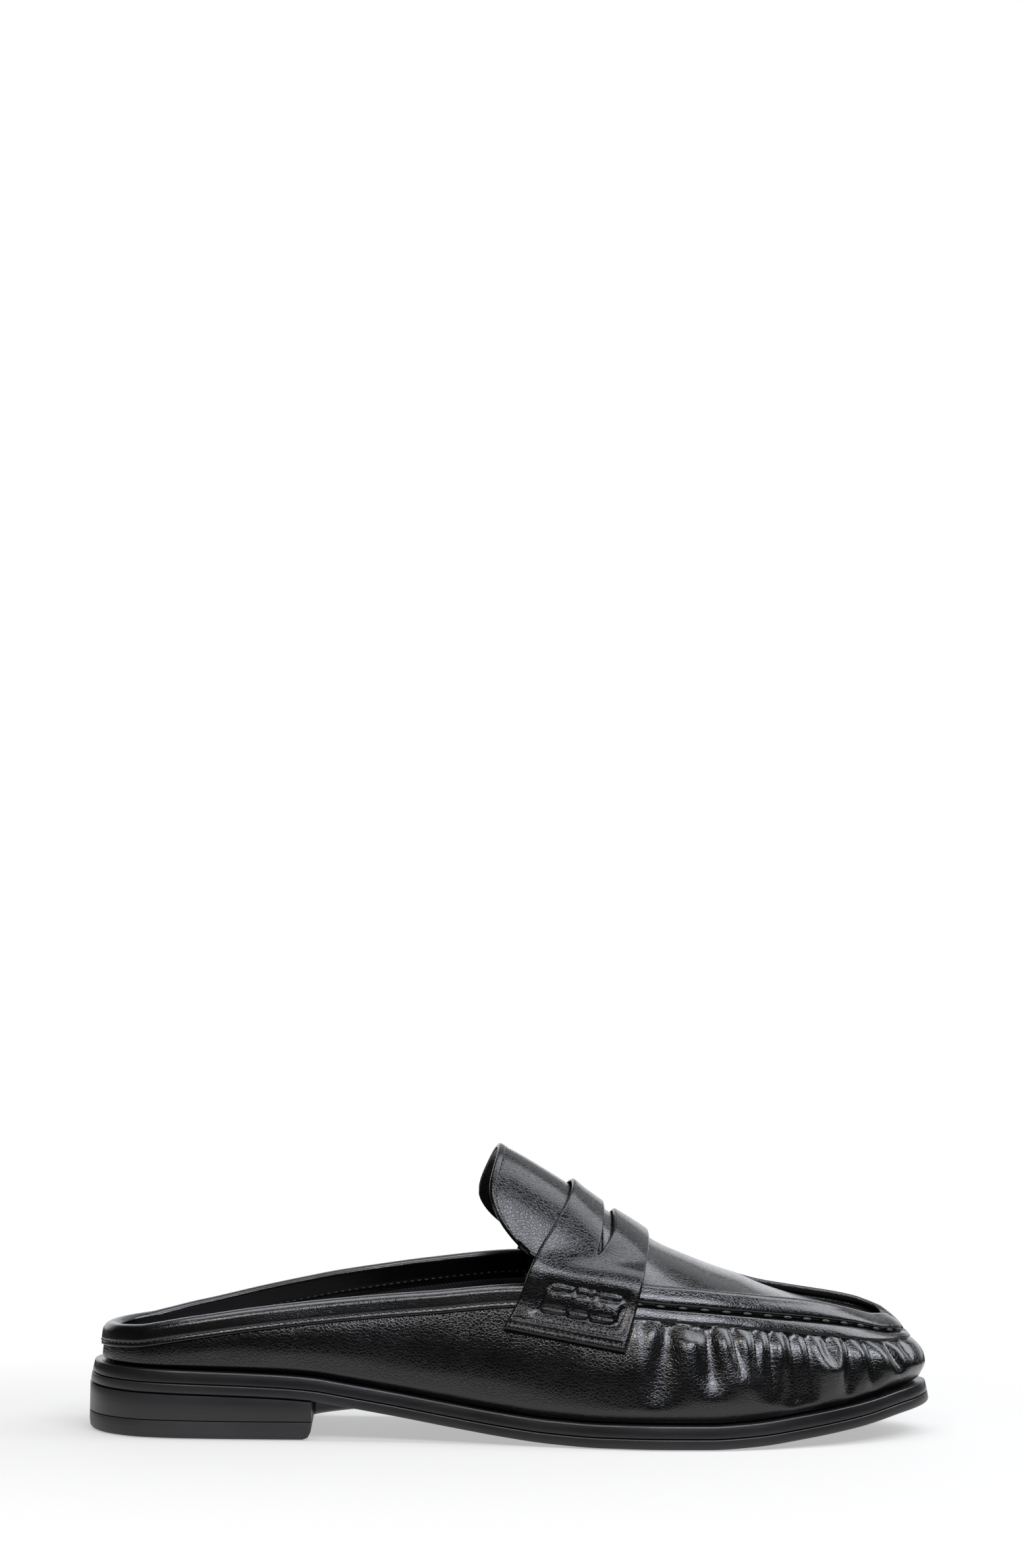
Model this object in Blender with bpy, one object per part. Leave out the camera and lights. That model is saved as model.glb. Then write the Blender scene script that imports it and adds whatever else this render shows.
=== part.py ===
"""A flat slip-on loafer mule, one right shoe, standing empty on its sole.

X runs from heel to toe, Y toward the wearer's left (the inner side of a right foot), Z up.
Heights are taken from the floor. "Share" is a position along the sole, 0 at the back of the
heel and 1 at the toe tip.
"""

import bmesh
import bpy
import numpy as np

# Sizes in metres.
LENGTH = 0.268
BALL_WIDTH = 0.091
HEEL_HEIGHT = 0.0144
LIFT_HEIGHT = 0.0056
TOE_SPRING = 0.0102
OUTSOLE_THICK = 0.0030
WELT_THICK = 0.0037
WELT_WIDTH = 0.0085
EDGE_LEAN = 0.0014
FEATHER_INSET = 0.0052
TUCK = 0.0016
BELLY = 0.0046
WALL = 0.0020
INSTEP_HEIGHT = 0.0900
LIP_STEP = 0.0013
LIP_RISE = 0.0016
BAND_STEP = 0.0009
APRON_SINK = 0.0026
APRON_RIM = 0.0002
CREST_INSET = 0.0003
CREST_LEAN = 0.0015
CREST_RISE = 0.0001
FOOT_INSET = 0.0006
FOOT_LEAN = 0.0018
UNDER_LEAN = 0.0012
INNER_STOP = 0.0065
BINDING_THICK = 0.0011
BINDING_DEPTH = 0.0041
STRAP_THICK = 0.0013
STRAP_GAP = 0.0004
SLOT_HALF = 0.0225
SLOT_WIDE = 0.0034
SLOT_BEND = 0.0027
TONGUE_THICK = 0.0020
TONGUE_HALF = 0.0270
TONGUE_DROP = 0.0245
INSOLE_THICK = 0.0028
WEDGE_HALF = 0.0135
WEDGE_DEPTH = 0.0068
WEDGE_GAP = 0.0004
GAP = 0.0003

# Places along the sole, as shares of its length.
BREAST = 0.264
WEDGE_END = 0.350
TONGUE_REAR = 0.472
THROAT = 0.590
SLOT_REAR = 0.591
LIP_START = 0.643
LIP_FULL = 0.656
BINDING_END = 0.498

# Forms without a size of their own.
STEPS = 44
ARCH_POWER = 2.3
TONGUE_NARROW = 0.90
TONGUE_FREE = 0.115
TONGUE_TRAIL = 0.38
TONGUE_CORNER = 0.046
TONGUE_TURN = 0.003
TONGUE_BLUNT = (12, 3)
APRON_WALL = 1.15
BINDING_RAKE = 2.1
STRAP_POWER = 2.6
STRAP_REACH = {  # shares: edge at the ridge, its way back to the collar and to the end, the end's drop
    "rear": (0.553, 0.051, 0.023, 0.330),
    "fore": (0.648, 0.011, 0.018, 0.475),
}

OUTLINE = (  # share, outer edge, inner edge (shares of the ball width)
    (0.000, 0.000, 0.000),
    (0.030, 0.232, 0.232),
    (0.070, 0.310, 0.310),
    (0.120, 0.337, 0.337),
    (0.180, 0.344, 0.342),
    (0.260, 0.343, 0.326),
    (0.350, 0.350, 0.303),
    (0.430, 0.376, 0.310),
    (0.520, 0.430, 0.360),
    (0.600, 0.482, 0.424),
    (0.660, 0.505, 0.466),
    (0.720, 0.497, 0.490),
    (0.780, 0.458, 0.484),
    (0.840, 0.386, 0.446),
    (0.900, 0.294, 0.390),
    (0.950, 0.180, 0.318),
    (0.985, 0.060, 0.210),
    (1.000, -0.075, 0.075),
)
PROFILE = (  # share, lift toward the heel (share of its height), lift toward the toe (of the spring)
    (0.000, 1.000, 0.000),
    (0.150, 0.920, 0.000),
    (0.220, 0.875, 0.000),
    (0.264, 0.815, 0.000),
    (0.300, 0.710, 0.000),
    (0.360, 0.525, 0.000),
    (0.420, 0.335, 0.000),
    (0.480, 0.165, 0.000),
    (0.540, 0.045, 0.000),
    (0.600, 0.000, 0.000),
    (0.720, 0.000, 0.000),
    (0.768, 0.000, 0.050),
    (0.832, 0.000, 0.225),
    (0.900, 0.000, 0.475),
    (0.960, 0.000, 0.780),
    (1.000, 0.000, 1.000),
)
TOP_EDGE = (  # share, height outer and inner (of the instep), inset outer and inner (of the ball width)
    (0.000, 0.347, 0.347, 0.062, 0.062),
    (0.050, 0.361, 0.359, 0.062, 0.062),
    (0.120, 0.394, 0.399, 0.064, 0.062),
    (0.200, 0.430, 0.454, 0.068, 0.064),
    (0.300, 0.465, 0.518, 0.078, 0.068),
    (0.400, 0.493, 0.566, 0.094, 0.076),
    (0.500, 0.522, 0.596, 0.120, 0.098),
    (0.600, 0.526, 0.597, 0.160, 0.138),
    (0.680, 0.513, 0.568, 0.178, 0.162),
    (0.760, 0.496, 0.528, 0.178, 0.168),
    (0.840, 0.473, 0.489, 0.168, 0.165),
    (0.918, 0.443, 0.463, 0.158, 0.158),
    (0.968, 0.412, 0.440, 0.154, 0.154),
    (1.000, 0.403, 0.403, 0.154, 0.154),
)
SWELL = (  # share, how far the side bellies out (of the belly)
    (0.000, 0.110),
    (0.100, 0.250),
    (0.300, 0.480),
    (0.600, 0.650),
    (0.850, 0.860),
    (1.000, 1.120),
)
RIDGE = (  # share, height of the instep's ridge
    (0.440, 1.048),
    (0.475, 0.998),
    (0.508, 0.945),
    (0.552, 0.860),
    (0.585, 0.791),
    (0.607, 0.750),
    (0.652, 0.672),
    (0.685, 0.627),
    (0.730, 0.586),
    (0.790, 0.534),
    (0.860, 0.467),
    (0.920, 0.428),
    (0.970, 0.386),
    (1.000, 0.360),
)
LIP_HEIGHT = (  # share, how far the lip rises over the side's top edge, outer and inner (of its rise)
    (0.600, 1.000, 0.300),
    (0.840, 1.000, 0.300),
    (0.950, 0.300, 0.300),
    (1.000, 0.300, 0.300),
)
SIDE_RISES = (0.0, 0.035, 0.11, 0.24, 0.42, 0.62, 0.82, 1.0)
SEAM_STEPS = (  # depth below the side's top edge, step outward, share of the lip's rise
    (0.0093, 0.0, 0.0),
    (0.0086, BAND_STEP, 0.0),
    (0.0054, BAND_STEP, 0.0),
    (0.0049, 0.0, 0.0),
    (0.0039, 0.0, 0.0),
    (0.0034, LIP_STEP, 0.0),
    (0.0005, LIP_STEP, 1.0),
    (0.0000, LIP_STEP - 0.0004, 1.0),
)
BINDING_SECTION = (  # outward from the side's face, depth below its top edge
    (GAP, BINDING_DEPTH),
    (GAP + BINDING_THICK, BINDING_DEPTH),
    (GAP + BINDING_THICK, 0.0005),
    (GAP + 0.0004, -0.0010),
    (-WALL / 2, -0.0015),
    (-WALL - GAP - 0.0004, -0.0010),
    (-WALL - GAP - BINDING_THICK, 0.0005),
    (-WALL - GAP - BINDING_THICK, BINDING_DEPTH),
    (-WALL - GAP, BINDING_DEPTH),
    (-WALL - GAP, -GAP),
    (GAP, -GAP),
)


def angle(share):
    """Shares bunch toward both ends when they are evenly spaced in this angle."""
    return np.arccos(np.clip(1 - 2 * np.asarray(share, float), -1, 1))


def smooth(table, column, share):
    """A table's column between its rows, without overshoot."""
    rows = np.array(table, float)
    knots, values = angle(rows[:, 0]), rows[:, column]
    steps, changes = np.diff(knots), np.diff(values)
    rates = changes / steps
    product = rates[1:] * rates[:-1]
    total = rates[1:] + rates[:-1]
    inner = np.where(product > 0, 2 * product / np.where(total == 0, 1, total), 0)
    slopes = np.concatenate([rates[:1], inner, rates[-1:]])
    at = np.clip(angle(share), knots[0], knots[-1])
    k = np.clip(np.searchsorted(knots, at, side="right") - 1, 0, len(steps) - 1)
    f = (at - knots[k]) / steps[k]
    start = values[k] * (1 + 2 * f) * (1 - f) ** 2 + slopes[k] * steps[k] * f * (1 - f) ** 2
    end = values[k + 1] * f**2 * (3 - 2 * f) - slopes[k + 1] * steps[k] * f**2 * (1 - f)
    return start + end


def stations():
    """Shares along the sole, closer at the ends, with the places where a feature starts or stops."""
    even = (1 - np.cos(np.linspace(0, np.pi, STEPS + 1))) / 2
    marks = np.array((BINDING_END, THROAT, LIP_START, LIP_FULL))
    kept = [s for s in even if np.abs(marks - s).min() > 0.008]
    return np.sort(np.concatenate([kept, marks]))


SHARES = stations()
LAST = len(SHARES) - 1
LOOP = np.concatenate([SHARES, SHARES[-2:0:-1]])
SIDES = np.concatenate([-np.ones(LAST + 1), np.ones(LAST - 1)])


def pick(side, outer, inner):
    return np.where(np.asarray(side) < 0, outer, inner)


def edge(share, side):
    """A point of the sole's outline; side is -1 for the outer edge and 1 for the inner one."""
    reach = pick(side, smooth(OUTLINE, 1, share), smooth(OUTLINE, 2, share))
    return np.stack([(share - 0.5) * LENGTH, side * reach * BALL_WIDTH], axis=-1)


SHIFT = (edge(LOOP, SIDES)[:, 1].max() + edge(LOOP, SIDES)[:, 1].min()) / 2


def flank(share, side, inset, height):
    """A point beside the outline, moved inward by the inset and lifted to the height."""
    share, side, inset, height = np.broadcast_arrays(share, side, inset, height)
    turn = angle(share)
    before = (1 - np.cos(np.clip(turn - 0.02, 0, np.pi))) / 2
    after = (1 - np.cos(np.clip(turn + 0.02, 0, np.pi))) / 2
    along = (edge(after, side) - edge(before, side)) * side[..., None]
    ends = (share < 1e-9) | (share > 1 - 1e-9)
    along[ends] = np.stack([0 * share, np.where(share > 0.5, -1, 1)], axis=-1)[ends]
    inward = np.stack([along[..., 1], -along[..., 0]], axis=-1)
    inward /= np.linalg.norm(inward, axis=-1)[..., None]
    point = edge(share, side) + inward * inset[..., None]
    return np.stack([point[..., 0], point[..., 1] - SHIFT, height], axis=-1)


def sole_height(share):
    """Height of the outsole's underside."""
    return HEEL_HEIGHT * smooth(PROFILE, 1, share) + TOE_SPRING * smooth(PROFILE, 2, share)


def on_sole(share, side, inset, level):
    """A point beside the outline, at a level above the outsole's underside."""
    point = flank(share, side, inset, 0.0)
    point[..., 2] = sole_height(point[..., 0] / LENGTH + 0.5) + level
    return point


def sole_ring(inset, level):
    """The outline as a closed loop, at a level above the outsole's underside."""
    return on_sole(LOOP, SIDES, inset, level)


FEATHER_LEVEL = OUTSOLE_THICK + GAP + WELT_THICK + GAP


def foot_height(share, side):
    """Height of the side's lower edge, just above the welt."""
    return on_sole(share, side, FEATHER_INSET, FEATHER_LEVEL)[..., 2]


def top_edge(share, side):
    """Height and inset of the side's top edge: the collar behind the throat, the seam before it."""
    height = pick(side, smooth(TOP_EDGE, 1, share), smooth(TOP_EDGE, 2, share)) * INSTEP_HEIGHT
    inset = pick(side, smooth(TOP_EDGE, 3, share), smooth(TOP_EDGE, 4, share)) * BALL_WIDTH
    return height, inset


def side_height(share, side):
    return top_edge(share, side)[0] - foot_height(share, side)


def wall(share, side, rise, out=0.0):
    """The upper's side at a share of its rise from the welt to the top edge, moved outward."""
    height, inset = top_edge(share, side)
    foot = foot_height(share, side)
    swell = TUCK * (1 - (1 - np.clip(rise / 0.11, 0, 1)) ** 2) * np.clip(1 - rise, 0, 1)
    swell = swell + BELLY * smooth(SWELL, 1, share) * np.sin(np.pi * np.clip(rise, 0, 1))
    level = foot + (height - foot) * rise
    return flank(share, side, FEATHER_INSET + (inset - FEATHER_INSET) * rise - swell - out, level)


def crown(left, right, share, across):
    """A point of the arch between two edge points; across runs from -1 to 1."""
    part = (np.asarray(across) + 1) / 2
    base = left + (right - left) * np.asarray(part)[..., None]
    ridge = smooth(RIDGE, 1, share) * INSTEP_HEIGHT
    rise = (ridge - (left[..., 2] + right[..., 2]) / 2) * (1 - np.abs(across) ** ARCH_POWER)
    base[..., 2] += rise
    return base


class Body:
    """A closed skin put together from rows of points."""

    def __init__(self):
        self.points = []
        self.faces = []

    def row(self, points):
        start = len(self.points)
        self.points.extend(np.atleast_2d(points).tolist())
        return list(range(start, len(self.points)))

    def face(self, *corners):
        kept = [c for k, c in enumerate(corners) if c != corners[k - 1]]
        if len(kept) > 2:
            self.faces.append(kept)

    def join(self, first, second, closed=False):
        """Quads between two rows of equal length."""
        for k in range(len(first) - (not closed)):
            n = (k + 1) % len(first)
            self.face(first[k], first[n], second[n], second[k])

    def loft(self, rows, closed=True):
        for first, second in zip(rows, rows[1:]):
            self.join(first, second, closed)

    def cap(self, loop, last):
        """Closes a loop with strips from its outer side to its inner side."""
        back = [loop[0]] + loop[:last:-1] + [loop[last]]
        self.join(loop[: last + 1], back)

    def make(self, name, colour, roughness):
        mesh = bpy.data.meshes.new(name)
        mesh.from_pydata(self.points, [], self.faces)
        work = bmesh.new()
        work.from_mesh(mesh)
        bmesh.ops.triangulate(work, faces=work.faces)
        bmesh.ops.recalc_face_normals(work, faces=work.faces)
        work.to_mesh(mesh)
        work.free()
        material = bpy.data.materials.new(name)
        material.use_nodes = True
        shader = material.node_tree.nodes["Principled BSDF"]
        shader.inputs["Base Color"].default_value = (*colour, 1)
        shader.inputs["Roughness"].default_value = roughness
        mesh.materials.append(material)
        thing = bpy.data.objects.new(name, mesh)
        PART.objects.link(thing)
        return thing


BLACK = (0.018, 0.018, 0.020)
SOLE_BLACK = (0.024, 0.023, 0.025)


def heel_layer(name, levels, roughness):
    """A layer under the heel; each level gives the inset, the front's setback and the height."""
    shares = BREAST * (1 - np.cos(np.linspace(0, np.pi / 2, 17)))
    count = len(shares) - 1
    loop = np.concatenate([shares, shares[::-1][:-1]])
    side = np.concatenate([-np.ones(count + 1), np.ones(count)])
    body = Body()
    rows = []
    for inset, setback, height in levels:
        at = loop * (1 - setback / (BREAST * LENGTH))
        level = height(at) if callable(height) else height
        rows.append(body.row(flank(at, side, inset, level)))
    body.loft(rows)
    for row in (rows[0], rows[-1]):
        lateral = row[: count + 1]
        medial = [row[0]] + row[:count:-1]
        body.join(lateral, medial)
    return body.make(name, SOLE_BLACK, roughness)


def make_heel():
    heel_layer(
        "top_lift",
        (
            (0.0008, 0.0026, 0.0),
            (0.0003, 0.0010, 0.0008),
            (0.0000, 0.0, 0.0028),
            (0.0000, 0.0, LIFT_HEIGHT - GAP),
        ),
        0.55,
    )
    heel_layer(
        "heel_block",
        (
            (0.0, 0.0, LIFT_HEIGHT),
            (0.0, 0.0, lambda at: sole_height(at) - GAP),
        ),
        0.45,
    )


def make_wedge():
    """The tapered block that backs the heel's front, under the shank."""
    body = Body()
    start = BREAST + WEDGE_GAP / LENGTH
    rows = []
    for f in np.linspace(0, 1, 7):
        share = start + (WEDGE_END - start) * f
        half = WEDGE_HALF * (1 - 0.26 * f)
        top = sole_height(share) - GAP
        depth = WEDGE_DEPTH * (0.91 * (1 - f) ** 1.3 + 0.09)
        x = (share - 0.5) * LENGTH
        centre = flank(share, -1, 0, 0)[1] + flank(share, 1, 0, 0)[1]
        y = centre / 2 + half * np.array([-1, 1, 0.8, 0.45, -0.45, -0.8])
        z = top - np.array([0, 0, 0.75, 1, 1, 0.75]) * depth
        rows.append(body.row(np.stack([0 * y + x, y, z], axis=1)))
    body.loft(rows)
    body.face(*rows[0])
    body.face(*rows[-1])
    body.make("shank_wedge", SOLE_BLACK, 0.5)


def make_outsole():
    body = Body()
    rim = OUTSOLE_THICK + GAP + WELT_THICK
    levels = (
        (0.0009, 0.0),
        (0.0002, 0.0006),
        (EDGE_LEAN / 2, OUTSOLE_THICK),
        (WELT_WIDTH + GAP, OUTSOLE_THICK),
        (WELT_WIDTH + GAP, rim),
    )
    rows = [body.row(sole_ring(inset, level)) for inset, level in levels]
    body.loft(rows)
    body.cap(rows[0], LAST)
    body.cap(rows[-1], LAST)
    body.make("outsole", SOLE_BLACK, 0.45)


def make_welt():
    body = Body()
    low, high = OUTSOLE_THICK + GAP, OUTSOLE_THICK + GAP + WELT_THICK
    levels = (
        (EDGE_LEAN / 2, low),
        (EDGE_LEAN, high - 0.0004),
        (EDGE_LEAN + 0.0005, high),
        (WELT_WIDTH, high),
        (WELT_WIDTH, low),
    )
    rows = [body.row(sole_ring(inset, level)) for inset, level in levels]
    body.loft(rows + rows[:1])
    body.make("welt", SOLE_BLACK, 0.4)


def make_insole():
    body = Body()
    inset = FEATHER_INSET + WALL + 2 * GAP
    base = FEATHER_LEVEL + GAP
    levels = (
        (inset, base),
        (inset, base + INSOLE_THICK - 0.0008),
        (inset + 0.0008, base + INSOLE_THICK),
    )
    rows = [body.row(sole_ring(inset, level)) for inset, level in levels]
    body.loft(rows)
    body.cap(rows[0], LAST)
    body.cap(rows[-1], LAST)
    body.make("insole", (0.03, 0.03, 0.032), 0.7)


def lip_share(share):
    """How far the raised seam is built up; it runs out beside the strap."""
    f = np.clip((share - LIP_START) / (LIP_FULL - LIP_START), 0, 1)
    return f * f * (3 - 2 * f)


def lip_rise(share, side):
    """How far the raised seam stands above the side's top edge."""
    part = pick(side, smooth(LIP_HEIGHT, 1, share), smooth(LIP_HEIGHT, 2, share))
    return LIP_RISE * lip_share(share) * part


ACROSS = np.sin(np.linspace(-1, 1, 13) * np.pi / 2)[1:-1]


def make_upper():
    """Sides and apron in one hollow wall, open at the collar, the throat and underneath."""
    body = Body()
    throat = int(np.argmin(np.abs(SHARES - THROAT)))
    size = len(LOOP)
    lip = lip_share(LOOP)
    lift = lip_rise(LOOP, SIDES)
    height = side_height(LOOP, SIDES)
    top, inset = top_edge(LOOP, SIDES)
    plain = 1 - SEAM_STEPS[0][0] / height

    outer = [body.row(wall(LOOP, SIDES, rise * plain)) for rise in SIDE_RISES]
    for depth, step, part in SEAM_STEPS[1:]:
        outer.append(body.row(wall(LOOP, SIDES, 1 - (depth - part * lift) / height, step * lip)))
    front = (LOOP > THROAT - 1e-6).astype(float)
    scale = (1 - front * INNER_STOP / height) / (1 - front * (1 - SIDE_RISES[-2]))
    inner = [body.row(wall(LOOP, SIDES, rise * scale, -WALL)) for rise in SIDE_RISES[:-1]]
    under_top = top - front * (WALL + APRON_SINK * lip)
    under = flank(LOOP, SIDES, inset + WALL + UNDER_LEAN * lip * front, under_top)
    inner.append(body.row(under))
    body.loft(outer)
    body.loft(inner)
    body.join(outer[0], inner[0], closed=True)

    ahead = [k for k in range(size) if throat <= (k if k <= LAST else size - k)]
    behind = [k for k in range(ahead[-1], size)] + list(range(0, throat + 1))
    body.join([outer[-1][k] for k in behind], [inner[-1][k] for k in behind])

    crest = flank(LOOP, SIDES, inset + CREST_INSET + CREST_LEAN * lip, top + lift + CREST_RISE)[ahead]
    foot_top = top - APRON_RIM - APRON_SINK * lip
    foot = flank(LOOP, SIDES, inset + FOOT_INSET + FOOT_LEAN * lip, foot_top)[ahead]
    crest_row, foot_row = body.row(crest), body.row(foot)
    top_row, under_row = [outer[-1][k] for k in ahead], [inner[-1][k] for k in ahead]
    body.loft([top_row, crest_row, foot_row], closed=False)

    count = len(ahead)
    sheets = []
    for points, edge_row, drop in ((foot, foot_row, 0.0), (under[ahead], under_row, WALL * APRON_WALL)):
        rows = []
        for k in range(count // 2):
            left, right = points[k], points[count - 1 - k]
            bed = foot[k], foot[count - 1 - k]
            middle = crown(*(np.tile(p, (len(ACROSS), 1)) for p in bed), SHARES[throat + k], ACROSS)
            part = (ACROSS[:, None] + 1) / 2
            middle[:, :2] = (left + (right - left) * part)[:, :2]
            middle[:, 2] -= drop
            rows.append([edge_row[k], *body.row(middle), edge_row[count - 1 - k]])
        rows.append([edge_row[count // 2]] * (len(ACROSS) + 2))
        body.loft(rows, closed=False)
        sheets.append(rows[0])
    over, below = sheets
    body.join(over, below)
    for at, end in ((0, over[0]), (count - 1, over[-1])):
        body.face(top_row[at], crest_row[at], under_row[at])
        body.face(crest_row[at], end, under_row[at])
    body.make("upper", BLACK, 0.25)


def make_binding():
    """The folded edge strip over the collar, ending at the strap on both sides."""
    body = Body()
    keep = SHARES <= BINDING_END + 1e-6
    shares = np.concatenate([SHARES[keep][::-1], SHARES[keep][1:]])
    sides = np.concatenate([-np.ones(keep.sum()), np.ones(keep.sum() - 1)])
    height = side_height(shares, sides)
    rows = []
    for out, depth in BINDING_SECTION:
        at = shares.copy()
        at[[0, -1]] -= BINDING_RAKE * max(depth, 0)
        rows.append(body.row(wall(at, sides, 1 - depth / height, out)))
    body.loft(rows + rows[:1], closed=False)
    body.face(*[row[0] for row in rows])
    body.face(*[row[-1] for row in rows])
    body.make("collar_binding", BLACK, 0.3)


def tongue_section(share, across):
    """The tongue's upper face; its sides drop away and trail behind its ridge."""
    back = np.clip((THROAT - share) / TONGUE_FREE, 0, 1)
    left = wall(share, -1.0 + 0 * share, 1.0 + 0 * share)
    right = wall(share, 1.0 + 0 * share, 1.0 + 0 * share)
    half = (right[..., 1] - left[..., 1]) / 2 * TONGUE_NARROW
    half = half + (TONGUE_HALF - half) * back
    middle = (right[..., 1] + left[..., 1]) / 2 * (1 - back)
    ridge = smooth(RIDGE, 1, share) * INSTEP_HEIGHT
    rise = ridge - (left[..., 2] + right[..., 2]) / 2
    drop = rise * TONGUE_NARROW**ARCH_POWER * (1 - back) + TONGUE_DROP * back
    fall = drop * np.abs(across) ** ARCH_POWER
    tilt = (right[..., 2] - left[..., 2]) / 2 * TONGUE_NARROW * across * (1 - back)
    x = (left[..., 0] + right[..., 0]) / 2 - TONGUE_TRAIL * fall * back
    return np.stack([x, middle + half * across, ridge - fall + tilt], axis=-1)


def normals(grid):
    """Unit normals of a grid of points, on its upper side."""
    down = np.gradient(grid, axis=0)
    across = np.gradient(grid, axis=1)
    found = np.cross(down, across)
    found /= np.linalg.norm(found, axis=2)[:, :, None]
    return found * np.where(found[:, :, 2:].mean() < 0, -1, 1)


def make_sheet(name, low, high, roughness):
    """A sheet between two grids of points, closed round its edges."""
    body = Body()
    count = low.shape[1]
    below = [body.row(points) for points in low]
    above = [body.row(points) for points in high]
    body.loft(below, closed=False)
    body.loft(above, closed=False)
    for side in (0, -1):
        body.join(below[side], above[side])
        column = 0 if side == 0 else count - 1
        body.join([row[column] for row in below], [row[column] for row in above])
    return body.make(name, BLACK, roughness)


def make_tongue():
    across = np.sin(np.linspace(-1, 1, 21) * np.pi / 2)
    blunt = TONGUE_BLUNT[0] + TONGUE_BLUNT[1] * across
    rear = TONGUE_REAR - TONGUE_TURN * across + TONGUE_CORNER * np.abs(across) ** blunt
    start = THROAT - STRAP_GAP / LENGTH
    grid = []
    for f in np.linspace(0, 1, 13):
        grid.append(tongue_section(start - (start - rear) * f, across * (1 - 0.03 * f**8)))
    grid = np.array(grid)
    lift = normals(grid)
    make_sheet("tongue", grid - lift * TONGUE_THICK, grid, 0.25)


def strap_line(reach, share):
    """The face under the strap at a share, from -2 at the outer welt over 0 at the ridge to 2."""
    side = np.where(reach < 0, -1.0, 1.0)
    rise = np.clip(2 - np.abs(reach), 0, 1)
    low = wall(share, side, rise)
    left, right = wall(share, -1 + 0 * share, 1 + 0 * share), wall(share, 1 + 0 * share, 1 + 0 * share)
    arch = crown(left, right, share, np.clip(reach, -1, 1))
    tongue_mid = tongue_section(share, 0 * share)[..., 1]
    tongue_half = tongue_section(share, 1 + 0 * share)[..., 1] - tongue_mid
    where = np.clip((arch[..., 1] - tongue_mid) / tongue_half, -1, 1)
    trail = (arch[..., 0] - tongue_section(share, where)[..., 0]) / LENGTH
    arch[..., 2] = np.maximum(arch[..., 2], tongue_section(share + trail, where)[..., 2])
    return np.where((np.abs(reach) > 1)[..., None], low, arch)


def make_strap():
    """The strap lies over the instep and ends on both sides, splayed toward its ends."""
    over = np.linspace(-1, 1, 21)
    tail = np.linspace(0, 1, 6)[1:]
    past = np.concatenate([tail[::-1], 0 * over, tail])
    side = np.concatenate([-1 + 0 * tail, over, 1 + 0 * tail])
    edges = []
    for start, back, tail_back, drop in (STRAP_REACH["rear"], STRAP_REACH["fore"]):
        share = start - back * np.abs(side) ** STRAP_POWER - tail_back * past
        edges.append((share, side + np.sign(side) * past * drop))
    (rear, rear_reach), (fore, fore_reach) = edges
    grid = []
    for f in np.linspace(0, 1, 10):
        grid.append(strap_line(rear_reach + (fore_reach - rear_reach) * f, rear + (fore - rear) * f))
    grid = np.array(grid)
    lift = normals(grid)
    low, high = STRAP_GAP, STRAP_GAP + STRAP_THICK
    strap = make_sheet("strap", grid + lift * low, grid + lift * high, 0.22)
    cut_slot(strap)


def cut_slot(strap):
    """Opens the leaf-shaped slot across the strap's crown; its ends bend back."""
    body = Body()
    centre = tongue_section(np.array(THROAT), np.array(0.0))[1]
    f = np.linspace(-1, 1, 15)
    y = SLOT_HALF * f
    rear = (SLOT_REAR - 0.5) * LENGTH - SLOT_BEND * f**4
    fore = rear + SLOT_WIDE * (1 - f**6)
    loop = np.concatenate([np.stack([rear, y], 1), np.stack([fore, y], 1)[-2:0:-1]])
    rows = []
    for z in (INSTEP_HEIGHT * 0.55, INSTEP_HEIGHT * 1.1):
        rows.append(body.row(np.c_[loop[:, 0], loop[:, 1] + centre, np.full(len(loop), z)]))
    body.loft(rows)
    for row in rows:
        body.face(*row)
    cutter = body.make("slot_cutter", BLACK, 0.5)
    PART.objects.unlink(cutter)
    CUTTERS.objects.link(cutter)
    modifier = strap.modifiers.new("slot", "BOOLEAN")
    modifier.object = cutter
    modifier.operation = "DIFFERENCE"
    modifier.solver = "EXACT"
    cutter.hide_render = True


for thing in list(bpy.data.objects):
    bpy.data.objects.remove(thing)
PART = bpy.data.collections.new("loafer_mule")
CUTTERS = bpy.data.collections.new("cutters")
bpy.context.scene.collection.children.link(PART)
bpy.context.scene.collection.children.link(CUTTERS)
CUTTERS.hide_render = True

make_heel()
make_wedge()
make_outsole()
make_welt()
make_insole()
make_upper()
make_binding()
make_tongue()
make_strap()
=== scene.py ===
"""The looks of a flat slip-on loafer mule, one right shoe, standing empty on its sole.

X runs from heel to toe, Y toward the inner side of the foot, Z up. "Share" is a position along
the sole, 0 at the back of the heel and 1 at the toe tip. Side is -1 outside and 1 inside. "Run"
is the distance along the seam from the toe tip, negative on the outer side, and "depth" is the
distance below the seam's or the collar's top edge; both are in millimetres.
"""

import bmesh
import bpy
import numpy as np
from mathutils import Matrix, Vector


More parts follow.
